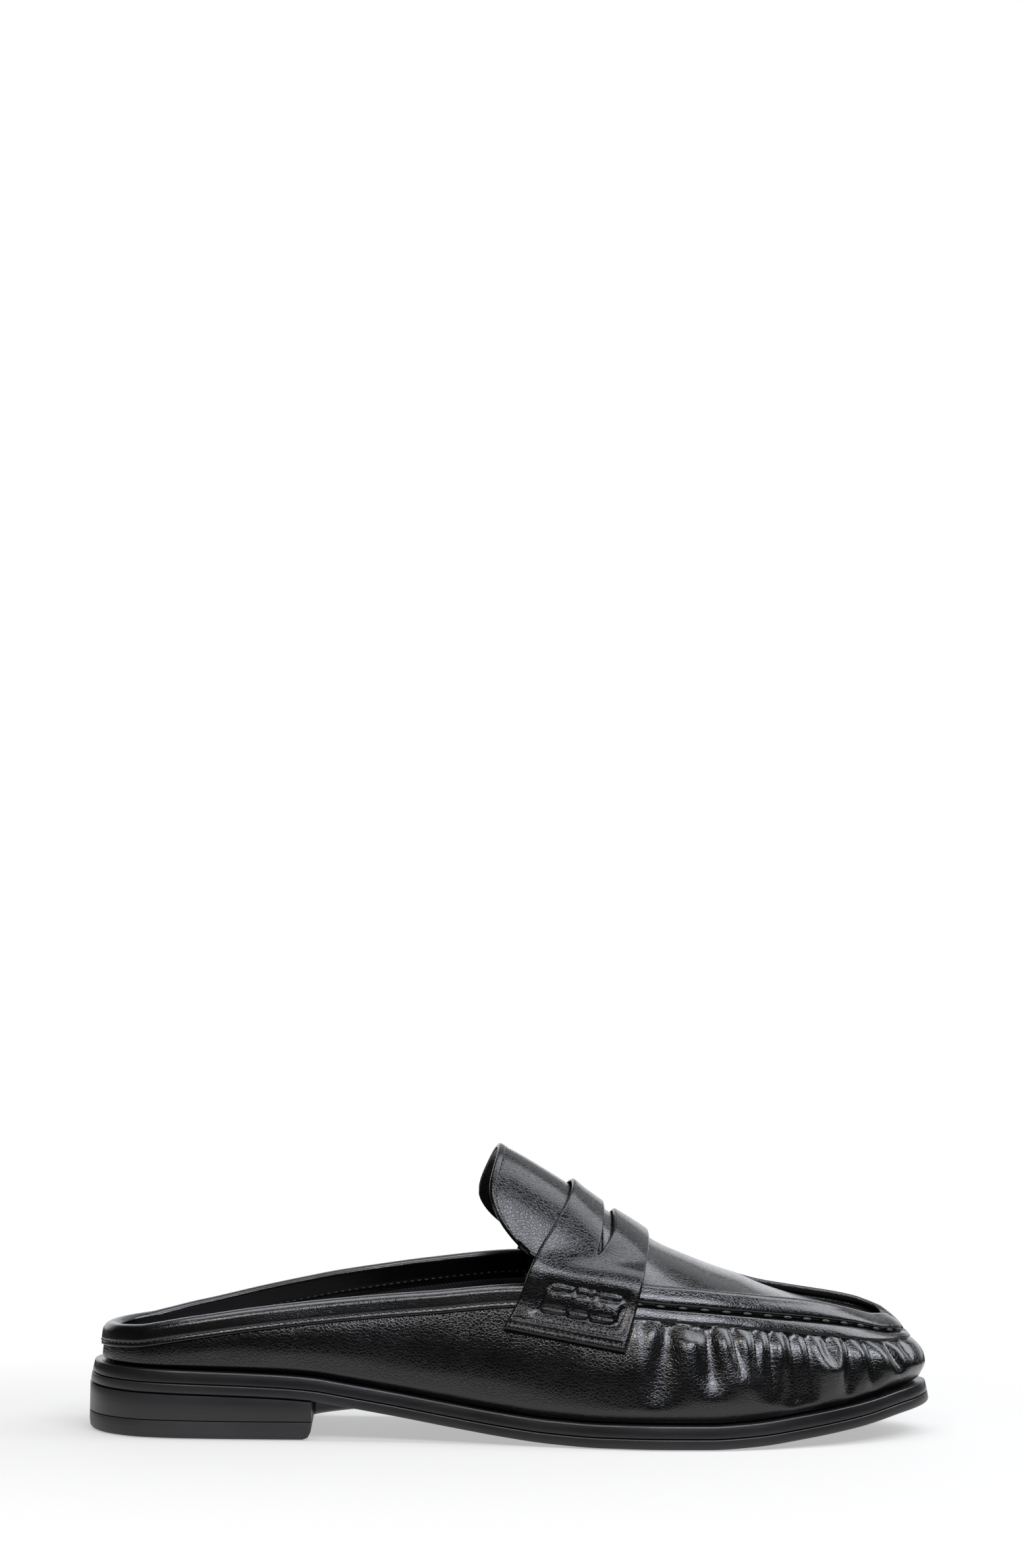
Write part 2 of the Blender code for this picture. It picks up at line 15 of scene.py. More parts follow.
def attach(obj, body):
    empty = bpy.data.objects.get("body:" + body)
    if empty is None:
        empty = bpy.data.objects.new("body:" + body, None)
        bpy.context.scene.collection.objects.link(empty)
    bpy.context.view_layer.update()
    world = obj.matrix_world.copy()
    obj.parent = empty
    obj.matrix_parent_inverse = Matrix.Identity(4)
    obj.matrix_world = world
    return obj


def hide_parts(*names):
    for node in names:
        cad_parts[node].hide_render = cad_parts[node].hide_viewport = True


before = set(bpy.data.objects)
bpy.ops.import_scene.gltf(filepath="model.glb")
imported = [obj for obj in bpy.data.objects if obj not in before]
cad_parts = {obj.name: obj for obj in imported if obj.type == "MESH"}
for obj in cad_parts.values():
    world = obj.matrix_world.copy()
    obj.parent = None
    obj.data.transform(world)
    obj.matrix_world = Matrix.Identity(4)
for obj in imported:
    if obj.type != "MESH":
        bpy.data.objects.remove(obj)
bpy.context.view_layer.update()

MM = 0.001

# Sizes in metres, the same as the solids'.
LENGTH = 0.268
BALL_WIDTH = 0.091
HEEL_HEIGHT = 0.0144
LIFT_HEIGHT = 0.0056
TOE_SPRING = 0.0102
OUTSOLE_THICK = 0.0030
WELT_THICK = 0.0037
WELT_WIDTH = 0.0085
EDGE_LEAN = 0.0014
FEATHER_INSET = 0.0052
TUCK = 0.0016
BELLY = 0.0046
WALL = 0.0020
INSTEP_HEIGHT = 0.0900
LIP_RISE = 0.0016
APRON_SINK = 0.0026
STRAP_THICK = 0.0013
STRAP_GAP = 0.0004
SLOT_HALF = 0.0225
SLOT_WIDE = 0.0034
SLOT_BEND = 0.0027
TONGUE_THICK = 0.0020
TONGUE_HALF = 0.0270
TONGUE_DROP = 0.0245
INSOLE_THICK = 0.0028
WEDGE_HALF = 0.0135
WEDGE_DEPTH = 0.0068
WEDGE_GAP = 0.0004
GAP = 0.0003

# Places along the sole, as shares of its length.
BREAST = 0.264
WEDGE_END = 0.350
TONGUE_REAR = 0.472
THROAT = 0.590
SLOT_REAR = 0.591
BINDING_END = 0.512
LIP_START = 0.600
LIP_FULL = 0.622

# Forms without a size of their own.
ARCH_POWER = 2.3
TONGUE_NARROW = 0.90
TONGUE_FREE = 0.115
TONGUE_TRAIL = 0.38
TONGUE_CORNER = 0.046
STRAP_REACH = {  # shares: edge at the ridge, its way back to the collar and to the end, the end's drop
    "rear": (0.553, 0.051, 0.023, 0.330),
    "fore": (0.648, 0.011, 0.018, 0.475),
}

OUTLINE = (  # share, outer edge, inner edge (shares of the ball width)
    (0.000, 0.000, 0.000),
    (0.030, 0.232, 0.232),
    (0.070, 0.310, 0.310),
    (0.120, 0.337, 0.337),
    (0.180, 0.344, 0.342),
    (0.260, 0.343, 0.326),
    (0.350, 0.350, 0.303),
    (0.430, 0.376, 0.310),
    (0.520, 0.430, 0.360),
    (0.600, 0.482, 0.424),
    (0.660, 0.505, 0.466),
    (0.720, 0.497, 0.490),
    (0.780, 0.458, 0.484),
    (0.840, 0.386, 0.446),
    (0.900, 0.294, 0.390),
    (0.950, 0.180, 0.318),
    (0.985, 0.060, 0.210),
    (1.000, -0.075, 0.075),
)
PROFILE = (  # share, lift toward the heel (share of its height), lift toward the toe (of the spring)
    (0.000, 1.000, 0.000),
    (0.150, 0.920, 0.000),
    (0.220, 0.875, 0.000),
    (0.264, 0.815, 0.000),
    (0.300, 0.710, 0.000),
    (0.360, 0.525, 0.000),
    (0.420, 0.335, 0.000),
    (0.480, 0.165, 0.000),
    (0.540, 0.045, 0.000),
    (0.600, 0.000, 0.000),
    (0.720, 0.000, 0.000),
    (0.768, 0.000, 0.050),
    (0.832, 0.000, 0.225),
    (0.900, 0.000, 0.475),
    (0.960, 0.000, 0.780),
    (1.000, 0.000, 1.000),
)
TOP_EDGE = (  # share, height outer and inner (of the instep), inset outer and inner (of the ball width)
    (0.000, 0.347, 0.347, 0.062, 0.062),
    (0.050, 0.361, 0.359, 0.062, 0.062),
    (0.120, 0.394, 0.399, 0.064, 0.062),
    (0.200, 0.430, 0.454, 0.068, 0.064),
    (0.300, 0.465, 0.518, 0.078, 0.068),
    (0.400, 0.493, 0.566, 0.094, 0.076),
    (0.500, 0.522, 0.596, 0.120, 0.098),
    (0.600, 0.526, 0.597, 0.160, 0.138),
    (0.680, 0.513, 0.568, 0.178, 0.162),
    (0.760, 0.496, 0.528, 0.178, 0.168),
    (0.840, 0.473, 0.489, 0.168, 0.165),
    (0.918, 0.443, 0.463, 0.158, 0.158),
    (0.968, 0.412, 0.440, 0.154, 0.154),
    (1.000, 0.403, 0.403, 0.154, 0.154),
)
SWELL = (  # share, how far the side bellies out (of the belly)
    (0.000, 0.110),
    (0.100, 0.250),
    (0.300, 0.480),
    (0.600, 0.650),
    (0.850, 0.860),
    (1.000, 1.120),
)
RIDGE = (  # share, height of the instep's ridge
    (0.440, 1.048),
    (0.475, 0.998),
    (0.508, 0.945),
    (0.552, 0.860),
    (0.585, 0.791),
    (0.607, 0.750),
    (0.652, 0.672),
    (0.685, 0.627),
    (0.730, 0.586),
    (0.790, 0.534),
    (0.860, 0.467),
    (0.920, 0.428),
    (0.970, 0.404),
    (1.000, 0.384),
)
LIP_HEIGHT = (  # share, how far the lip rises over the side's top edge, outer and inner (of its rise)
    (0.600, 1.000, 0.300),
    (0.840, 1.000, 0.300),
    (0.950, 0.300, 0.300),
    (1.000, 0.300, 0.300),
)
GATHERS = (  # side, share at the band, share at the foot, reach, deep, wide (mm)
    (-1, 0.642, 0.638, 12, 0.7, 1.6),
    (-1, 0.677, 0.659, 21, 2.1, 2.2),
    (-1, 0.705, 0.704, 4, 0.9, 1.0),
    (-1, 0.722, 0.725, 17, 2.1, 1.5),
    (-1, 0.757, 0.761, 13, 1.2, 1.1),
    (-1, 0.785, 0.781, 14, 1.1, 1.3),
    (-1, 0.806, 0.799, 18, 1.5, 1.2),
    (-1, 0.831, 0.826, 23, 2.0, 1.5),
    (-1, 0.850, 0.849, 20, 1.5, 1.2),
    (-1, 0.875, 0.874, 8, 1.6, 1.5),
    (-1, 0.901, 0.895, 18, 1.7, 1.3),
    (-1, 0.926, 0.925, 14, 1.4, 1.2),
    (-1, 0.953, 0.958, 9, 1.1, 1.2),
    (-1, 0.977, 0.977, 6, 0.6, 1.6),
    (1, 0.640, 0.636, 12, 0.8, 1.6),
    (1, 0.672, 0.660, 20, 1.8, 2.0),
    (1, 0.703, 0.700, 14, 1.5, 1.4),
    (1, 0.735, 0.738, 18, 1.9, 1.5),
    (1, 0.762, 0.760, 12, 1.1, 1.1),
    (1, 0.789, 0.786, 19, 1.8, 1.4),
    (1, 0.815, 0.812, 15, 1.3, 1.2),
    (1, 0.840, 0.836, 20, 1.7, 1.4),
    (1, 0.866, 0.866, 13, 1.3, 1.1),
    (1, 0.889, 0.885, 17, 1.6, 1.3),
    (1, 0.913, 0.911, 14, 1.3, 1.2),
    (1, 0.938, 0.939, 11, 1.1, 1.1),
    (1, 0.962, 0.965, 8, 0.8, 1.2),
    (1, 0.985, 0.985, 5, 0.5, 1.6),
)


def angle(share):
    """Shares bunch toward both ends when they are evenly spaced in this angle."""
    return np.arccos(np.clip(1 - 2 * np.asarray(share, float), -1, 1))


def smooth(table, column, share):
    """A table's column between its rows, without overshoot."""
    rows = np.array(table, float)
    knots, values = angle(rows[:, 0]), rows[:, column]
    steps, changes = np.diff(knots), np.diff(values)
    rates = changes / steps
    product = rates[1:] * rates[:-1]
    total = rates[1:] + rates[:-1]
    inner = np.where(product > 0, 2 * product / np.where(total == 0, 1, total), 0)
    slopes = np.concatenate([rates[:1], inner, rates[-1:]])
    at = np.clip(angle(share), knots[0], knots[-1])
    k = np.clip(np.searchsorted(knots, at, side="right") - 1, 0, len(steps) - 1)
    f = (at - knots[k]) / steps[k]
    start = values[k] * (1 + 2 * f) * (1 - f) ** 2 + slopes[k] * steps[k] * f * (1 - f) ** 2
    end = values[k + 1] * f**2 * (3 - 2 * f) - slopes[k + 1] * steps[k] * f**2 * (1 - f)
    return start + end


def soft_step(value, start, end):
    """Rises smoothly from 0 at the start to 1 at the end."""
    f = np.clip((value - start) / (end - start), 0, 1)
    return f * f * (3 - 2 * f)


def uneven(first, second, first_size, second_size, seed):
    """Smooth unevenness between -1 and 1, with waves of the given sizes."""
    grid = np.random.default_rng(seed).uniform(-1, 1, (256, 256))
    first, second = np.broadcast_arrays(first, second)
    a, b = first / first_size + 128, second / second_size + 128
    i, j = np.floor(a).astype(int), np.floor(b).astype(int)
    f, g = soft_step(a - i, 0, 1), soft_step(b - j, 0, 1)
    near = grid[i % 256, j % 256] * (1 - f) + grid[(i + 1) % 256, j % 256] * f
    far = grid[i % 256, (j + 1) % 256] * (1 - f) + grid[(i + 1) % 256, (j + 1) % 256] * f
    return near * (1 - g) + far * g


def pick(side, outer, inner):
    return np.where(np.asarray(side) < 0, outer, inner)


def edge(share, side):
    """A point of the sole's outline; side is -1 for the outer edge and 1 for the inner one."""
    reach = pick(side, smooth(OUTLINE, 1, share), smooth(OUTLINE, 2, share))
    return np.stack([(share - 0.5) * LENGTH, side * reach * BALL_WIDTH], axis=-1)


def stations(rear_pitch, fore_pitch, change):
    """Shares along the sole, evenly spaced on its edge, closer in front of the change."""
    fine = (1 - np.cos(np.linspace(0, np.pi, 4001))) / 2
    steps = np.linalg.norm(np.diff(edge(fine, -1), axis=0), axis=1)
    pitch = rear_pitch + (fore_pitch - rear_pitch) * soft_step(fine[1:], change - 0.03, change)
    count = np.concatenate([[0], np.cumsum(steps / pitch)])
    return np.interp(np.linspace(0, count[-1], int(count[-1])), count, fine)


SHARES = stations(0.0017, 0.00078, 0.625)
LAST = len(SHARES) - 1
LOOP = np.concatenate([SHARES, SHARES[-2:0:-1]])
SIDES = np.concatenate([-np.ones(LAST + 1), np.ones(LAST - 1)])
SHIFT = (edge(LOOP, SIDES)[:, 1].max() + edge(LOOP, SIDES)[:, 1].min()) / 2


def flank(share, side, inset, height):
    """A point beside the outline, moved inward by the inset and lifted to the height."""
    share, side, inset, height = np.broadcast_arrays(share, side, inset, height)
    turn = angle(share)
    before = (1 - np.cos(np.clip(turn - 0.02, 0, np.pi))) / 2
    after = (1 - np.cos(np.clip(turn + 0.02, 0, np.pi))) / 2
    along = (edge(after, side) - edge(before, side)) * side[..., None]
    ends = (share < 1e-9) | (share > 1 - 1e-9)
    along[ends] = np.stack([0 * share, np.where(share > 0.5, -1, 1)], axis=-1)[ends]
    inward = np.stack([along[..., 1], -along[..., 0]], axis=-1)
    inward /= np.linalg.norm(inward, axis=-1)[..., None]
    point = edge(share, side) + inward * inset[..., None]
    return np.stack([point[..., 0], point[..., 1] - SHIFT, height], axis=-1)


def sole_height(share):
    """Height of the outsole's underside."""
    return HEEL_HEIGHT * smooth(PROFILE, 1, share) + TOE_SPRING * smooth(PROFILE, 2, share)


def on_sole(share, side, inset, level):
    """A point beside the outline, at a level above the outsole's underside."""
    point = flank(share, side, inset, 0.0)
    point[..., 2] = sole_height(point[..., 0] / LENGTH + 0.5) + level
    return point


FEATHER_LEVEL = OUTSOLE_THICK + GAP + WELT_THICK + GAP


def top_edge(share, side):
    """Height and inset of the side's top edge: the collar behind the throat, the seam before it."""
    height = pick(side, smooth(TOP_EDGE, 1, share), smooth(TOP_EDGE, 2, share)) * INSTEP_HEIGHT
    inset = pick(side, smooth(TOP_EDGE, 3, share), smooth(TOP_EDGE, 4, share)) * BALL_WIDTH
    return height, inset


def foot_height(share, side):
    """Height of the side's lower edge, just above the welt."""
    return on_sole(share, side, FEATHER_INSET, FEATHER_LEVEL)[..., 2]


def side_height(share, side):
    return top_edge(share, side)[0] - foot_height(share, side)


def wall(share, side, rise, out=0.0):
    """The upper's side at a share of its rise from the welt to the top edge, moved outward."""
    height, inset = top_edge(share, side)
    foot = foot_height(share, side)
    swell = TUCK * (1 - (1 - np.clip(rise / 0.11, 0, 1)) ** 2) * np.clip(1 - rise, 0, 1)
    swell = swell + BELLY * smooth(SWELL, 1, share) * np.sin(np.pi * np.clip(rise, 0, 1))
    level = foot + (height - foot) * rise
    return flank(share, side, FEATHER_INSET + (inset - FEATHER_INSET) * rise - swell - out, level)


def below_edge(share, side, depth, out=0.0):
    """The side's face at a depth below its top edge, moved outward; both are in millimetres."""
    return wall(share, side, 1 - depth * MM / side_height(share, side), out * MM)


def crown(left, right, share, across):
    """A point of the arch between two edge points; across runs from -1 to 1."""
    part = (np.asarray(across) + 1) / 2
    base = left + (right - left) * np.asarray(part)[..., None]
    ridge = smooth(RIDGE, 1, share) * INSTEP_HEIGHT
    rise = (ridge - (left[..., 2] + right[..., 2]) / 2) * (1 - np.abs(across) ** ARCH_POWER)
    base[..., 2] += rise
    return base


def seam_run():
    """Distance of each station from the toe tip, along the band under the seam."""
    line = below_edge(LOOP, SIDES, 9.0)
    steps = np.linalg.norm(np.diff(line, axis=0), axis=1)
    run = np.concatenate([[0], np.cumsum(steps)]) / MM
    return run - run[LAST]


RUN = seam_run()


def run_at(side, share):
    """Run of a place given by its side and share."""
    half = slice(0, LAST + 1)
    outer = np.interp(share, SHARES, RUN[half])
    inner = np.interp(share, SHARES[1:], np.append(RUN[LAST + 1 :][::-1], 0))
    return pick(side, outer, inner)


class Skin:
    """A piece's closed surface, put together from rows of points."""

    def __init__(self):
        self.points = []
        self.places = []
        self.quads = []
        self.count = 0

    def row(self, points, run=0.0, depth=0.0):
        """Adds points with their place on the piece, and gives their numbers."""
        points = np.atleast_2d(points)
        place = np.zeros((len(points), 3))
        place[:, 0] = run
        place[:, 1] = depth
        self.points.append(points)
        self.places.append(place)
        self.count += len(points)
        return np.arange(self.count - len(points), self.count)

    def join(self, first, second, closed=False):
        """Quads between two rows of equal length."""
        first, second = np.asarray(first), np.asarray(second)
        if closed:
            first, second = np.append(first, first[0]), np.append(second, second[0])
        self.quads.append(np.stack([first[:-1], first[1:], second[1:], second[:-1]], axis=1))

    def loft(self, rows, closed=True):
        for first, second in zip(rows, rows[1:]):
            self.join(first, second, closed)

    def cap(self, loop, last):
        """Closes a loop with strips from its outer side to its inner side."""
        back = np.concatenate([loop[:1], loop[:last:-1], loop[last : last + 1]])
        self.join(loop[: last + 1], back)

    def mesh(self, name, finish):
        faces = []
        for quad in np.concatenate(self.quads).tolist():
            kept = [c for k, c in enumerate(quad) if c != quad[k - 1]]
            if len(kept) > 2:
                faces.append(kept)
        made = bpy.data.meshes.new(name)
        made.from_pydata(np.concatenate(self.points).tolist(), [], faces)
        work = bmesh.new()
        work.from_mesh(made)
        bmesh.ops.recalc_face_normals(work, faces=work.faces)
        work.to_mesh(made)
        work.free()
        place = made.attributes.new("place", "FLOAT_VECTOR", "POINT")
        place.data.foreach_set("vector", np.concatenate(self.places).ravel())
        made.shade_smooth()
        made.materials.append(finish)
        return made

    def make(self, name, finish, node):
        """The finished piece; node is the solid whose place it takes, and which is hidden."""
        return dress(name, self.mesh(name, finish), node)


def dress(name, mesh, node, replaces=True):
    """An object that rides on the shoe; when it replaces a node, that node's solid is hidden."""
    thing = bpy.data.objects.new(name, mesh)
    bpy.context.scene.collection.objects.link(thing)
    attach(thing, "root")
    if replaces:
        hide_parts(node)
    return thing


class Signal:
    """A socket of a material; arithmetic on it adds the Math nodes that work it out."""

    def __init__(self, tree, socket=None):
        self.tree = tree
        self.socket = socket

    def node(self, kind, inputs, settings=None, output=0):
        """Adds a node: its settings first, then the values or links of its sockets."""
        made = self.tree.nodes.new("ShaderNode" + kind)
        for key, value in (settings or {}).items():
            if key == "stops":
                ramp = made.color_ramp
                for k, (place, colour) in enumerate(value):
                    stop = ramp.elements[k] if k < 2 else ramp.elements.new(place)
                    stop.position = place
                    stop.color = colour
            else:
                setattr(made, key, value)
        for key, value in inputs.items():
            if isinstance(value, Signal):
                self.tree.links.new(value.socket, made.inputs[key])
            else:
                made.inputs[key].default_value = value
        return Signal(self.tree, made.outputs[output])

    def math(self, operation, *values, clamp=False):
        return self.node("Math", dict(enumerate(values)), {"operation": operation, "use_clamp": clamp})

    def __add__(self, other):
        return self.math("ADD", self, other)

    def __radd__(self, other):
        return self.math("ADD", other, self)

    def __sub__(self, other):
        return self.math("SUBTRACT", self, other)

    def __rsub__(self, other):
        return self.math("SUBTRACT", other, self)

    def __mul__(self, other):
        return self.math("MULTIPLY", self, other)

    def __rmul__(self, other):
        return self.math("MULTIPLY", other, self)

    def __truediv__(self, other):
        return self.math("DIVIDE", self, other)

    def noise(self, at, scale, detail=3.0):
        """Fractal noise between 0 and 1 with features of 1/scale metres."""
        return self.node("TexNoise", {"Vector": at, "Scale": scale, "Detail": detail})

    def step(self, value, start, end):
        """Rises smoothly from 0 at the start to 1 at the end."""
        sockets = {"Value": value, 1: start, 2: end, 3: 0.0, 4: 1.0}
        return self.node("MapRange", sockets, {"interpolation_type": "SMOOTHSTEP"})

    def stretch(self, at, x, y, z):
        """Coordinates multiplied by a factor for each axis."""
        return self.node("VectorMath", {0: at, 1: (x, y, z)}, {"operation": "MULTIPLY"})

    def blend(self, amount, first, second):
        """A colour between two colours."""
        sockets = {0: amount, 6: first, 7: second}
        return self.node("Mix", sockets, {"data_type": "RGBA"}, 2)


def new_finish(name, **sockets):
    """A material, its Principled shader and a signal to draw nodes with."""
    finish = bpy.data.materials.new(name)
    finish.use_nodes = True
    shader = finish.node_tree.nodes["Principled BSDF"]
    for key, value in sockets.items():
        shader.inputs[key.replace("_", " ")].default_value = value
    return finish, shader, Signal(finish.node_tree)


def drive(shader, key, signal):
    signal.tree.links.new(signal.socket, shader.inputs[key])


def make_leather(name, shade, gloss, grain, relief, shine=0.6):
    """Smooth glossy leather with pebbled grain; shade is its black, gloss its roughness."""
    finish, shader, draw = new_finish(name, Coat_Weight=0.12, Coat_Roughness=0.16)
    shader.inputs["Specular IOR Level"].default_value = shine
    at = draw.node("TexCoord", {}, output=3)
    drift = draw.node("TexNoise", {"Vector": at, "Scale": 0.6 / grain, "Detail": 2.0}, output=1)
    moved = draw.node("VectorMath", {0: drift, 1: (grain, grain, grain)}, {"operation": "MULTIPLY"})
    bent = draw.node("VectorMath", {0: at, 1: moved}, {"operation": "ADD"})
    sockets = {"Vector": bent, "Scale": 1 / grain}
    cell = draw.node("TexVoronoi", sockets, {"feature": "DISTANCE_TO_EDGE"})
    pebble = draw.step(cell, 0.0, 0.22)
    patch = draw.noise(at, 42.0)
    fine = draw.noise(at, 2600.0, 2.0)
    height = pebble * (0.55 + patch * 0.9) + fine * 0.35
    bump = draw.node("Bump", {"Height": height, "Strength": relief, "Distance": 0.00009})
    drive(shader, "Normal", bump)
    drive(shader, "Roughness", gloss + (patch - 0.5) * 0.12 + (1 - pebble) * 0.10)
    dark = tuple(0.62 * c for c in shade)
    drive(shader, "Base Color", draw.blend(draw.step(patch, 0.3, 0.7), (*dark, 1), (*shade, 1)))
    return finish


def make_edge_dressing(name, shade, gloss):
    """Blackened sole edge: fine lines along it, dulled where it is handled."""
    finish, shader, draw = new_finish(name)
    at = draw.node("TexCoord", {}, output=3)
    lines = draw.noise(draw.stretch(at, 18.0, 18.0, 1500.0), 1.0, 3.0)
    specks = draw.noise(at, 900.0, 3.0)
    cloud = draw.noise(at, 35.0)
    height = lines * 0.6 + specks * 0.4
    bump = draw.node("Bump", {"Height": height, "Strength": 0.5, "Distance": 0.00008})
    drive(shader, "Normal", bump)
    drive(shader, "Roughness", gloss + (cloud - 0.5) * 0.2 + (lines - 0.5) * 0.1)
    light = tuple(1.5 * c for c in shade)
    drive(shader, "Base Color", draw.blend(draw.step(cloud, 0.35, 0.7), (*shade, 1), (*light, 1)))
    return finish


def make_twill():
    """Woven lining with a diagonal rib."""
    finish, shader, draw = new_finish("twill_lining")
    place = draw.node("Attribute", {}, {"attribute_name": "place"}, 1)
    parts = draw.tree.nodes.new("ShaderNodeSeparateXYZ")
    draw.tree.links.new(place.socket, parts.inputs[0])
    run, depth = Signal(draw.tree, parts.outputs[0]), Signal(draw.tree, parts.outputs[1])
    rib = draw.math("SINE", (run + depth * 0.8) * 5.2) * 0.5 + 0.5
    yarn = draw.math("SINE", (run - depth) * 13.0) * 0.5 + 0.5
    height = rib * (0.7 + yarn * 0.3)
    bump = draw.node("Bump", {"Height": height, "Strength": 0.7, "Distance": 0.00015})
    drive(shader, "Normal", bump)
    drive(shader, "Base Color", draw.blend(height, (0.006, 0.006, 0.007, 1), (0.022, 0.021, 0.023, 1)))
    shader.inputs["Roughness"].default_value = 0.62
    return finish


def make_thread():
    """Waxed black thread, twisted."""
    finish, shader, draw = new_finish("waxed_thread", Roughness=0.32)
    at = draw.node("TexCoord", {}, output=3)
    twist = draw.noise(at, 2200.0, 2.0)
    bump = draw.node("Bump", {"Height": twist, "Strength": 0.6, "Distance": 0.0001})
    drive(shader, "Normal", bump)
    drive(shader, "Base Color", draw.blend(twist, (0.008, 0.008, 0.009, 1), (0.03, 0.03, 0.032, 1)))
    return finish


LEATHER = make_leather("grained_leather", (0.0026, 0.0025, 0.0026), 0.16, 0.00095, 0.30, 0.52)
STRAP_LEATHER = make_leather("strap_leather", (0.0032, 0.0032, 0.0034), 0.18, 0.00100, 0.36, 0.32)
EDGE_LEATHER = make_leather("folded_leather", (0.0026, 0.0025, 0.0026), 0.16, 0.00060, 0.20)
INSOLE_LEATHER = make_leather("insole_leather", (0.0060, 0.0060, 0.0064), 0.45, 0.00070, 0.30)
SOLE_EDGE = make_edge_dressing("sole_edge", (0.0085, 0.0082, 0.0088), 0.36)
WELT_EDGE = make_edge_dressing("welt_edge", (0.0060, 0.0058, 0.0062), 0.30)
HEEL_EDGE = make_edge_dressing("heel_edge", (0.0085, 0.0082, 0.0090), 0.38)
LIFT_RUBBER = make_edge_dressing("lift_rubber", (0.0120, 0.0117, 0.0127), 0.48)
TWILL = make_twill()
THREAD = make_thread()


def lip_share(share):
    """How far the raised seam is built up; it runs out under the strap."""
    return soft_step(share, LIP_START, LIP_FULL)


GROOVE = 4.3
SEAM_DEPTH = 9.4


def band_edge(run, share):
    """Depth of the lower edge of the band under the groove."""
    return 8.5 - 1.7 * soft_step(share, 0.92, 0.985) + 0.22 * uneven(run, 0.0, 5.5, 1.0, 5)


def band(run, depth, share):
    """Outward step of the band and the groove above it (mm)."""
    low = band_edge(run, share)
    strip = soft_step(depth, GROOVE + 0.35, GROOVE + 1.1) * (1 - soft_step(depth, low - 0.45, low + 0.15))
    bulge = 1.0 + 0.28 * np.sin(np.pi * np.clip((depth - GROOVE) / (low - GROOVE), 0, 1))
    groove = 0.30 * np.exp(-(((depth - GROOVE) / 0.45) ** 2))
    return lip_share(share) * (strip * bulge - groove)


def gathers(run, depth, share, height):
    """Outward step of the gathered side under the band (mm)."""
    low = np.maximum(depth - band_edge(run, share), 0)
    puff = 4.0 * (1 - np.exp(-low / 3.4)) * np.exp(-((low / 17.0) ** 2))
    puff = puff * (1 - 0.5 * soft_step(share, 0.93, 1.0)) - 0.6 * np.exp(-low / 0.6)
    fold = 0.0
    for side, at, foot, reach, deep, wide in GATHERS:
        start, end = run_at(side, at), run_at(side, foot)
        line = start + (end - start) * low / reach
        blunt = 0.2 + 0.07 * low
        away = np.sqrt((run - line) ** 2 + blunt**2) - blunt
        fade = 1 - soft_step(low, 0.4 * reach, 1.35 * reach)
        spread_out = 1.3 * wide * (1 + 0.5 * low / reach)
        fold = fold + 3.0 * deep * fade * np.exp(-((away / spread_out) ** 1.1))
    deepest = np.maximum(puff, 0) + 1.6
    fold = deepest * np.tanh(fold / deepest) * (1 - np.exp(-low / 0.7))
    zone = soft_step(low, 0.5, 2.5) * (1 - soft_step(low, 9, 20))
    crumple = 0.09 * uneven(run, depth, 2.2, 6.0, 11) + 0.04 * uneven(run, depth, 1.2, 2.6, 12)
    rest = soft_step(height - depth, 0.5, 6.0)
    return soft_step(share, 0.622, 0.652) * rest * (puff - fold + crumple * zone)


def side_step(run, depth, share, height):
    """All that the side's face stands out from its plain form (mm)."""
    soft = 0.22 * uneven(run, depth, 30.0, 14.0, 21) + 0.10 * uneven(run, depth, 11.0, 8.0, 22)
    calm = soft_step(height - depth, 0.0, 6.0) * soft_step(depth, 5.0, 12.0)
    return band(run, depth, share) + gathers(run, depth, share, height) + soft * calm


def lip_rise(share, side):
    """How far the raised seam stands above the side's top edge (mm)."""
    part = pick(side, smooth(LIP_HEIGHT, 1, share), smooth(LIP_HEIGHT, 2, share))
    return LIP_RISE / MM * lip_share(share) * part


def roll(turn, rise):
    """Section of the raised lip at a turn of its outline: outward and depth (mm)."""
    c, s = np.cos(turn), np.sin(turn)
    tall = 2.05 + rise / 2
    out = -0.30 + 1.95 * np.sign(c) * np.abs(c) ** (2 / 2.3)
    depth = tall - 0.2 - rise - tall * np.sign(s) * np.abs(s) ** (2 / 2.3)
    return out, depth


ROLL_TURNS = np.radians(np.linspace(-62, 200, 30))
ACROSS = np.sin(np.linspace(-1, 1, 45) * np.pi / 2)


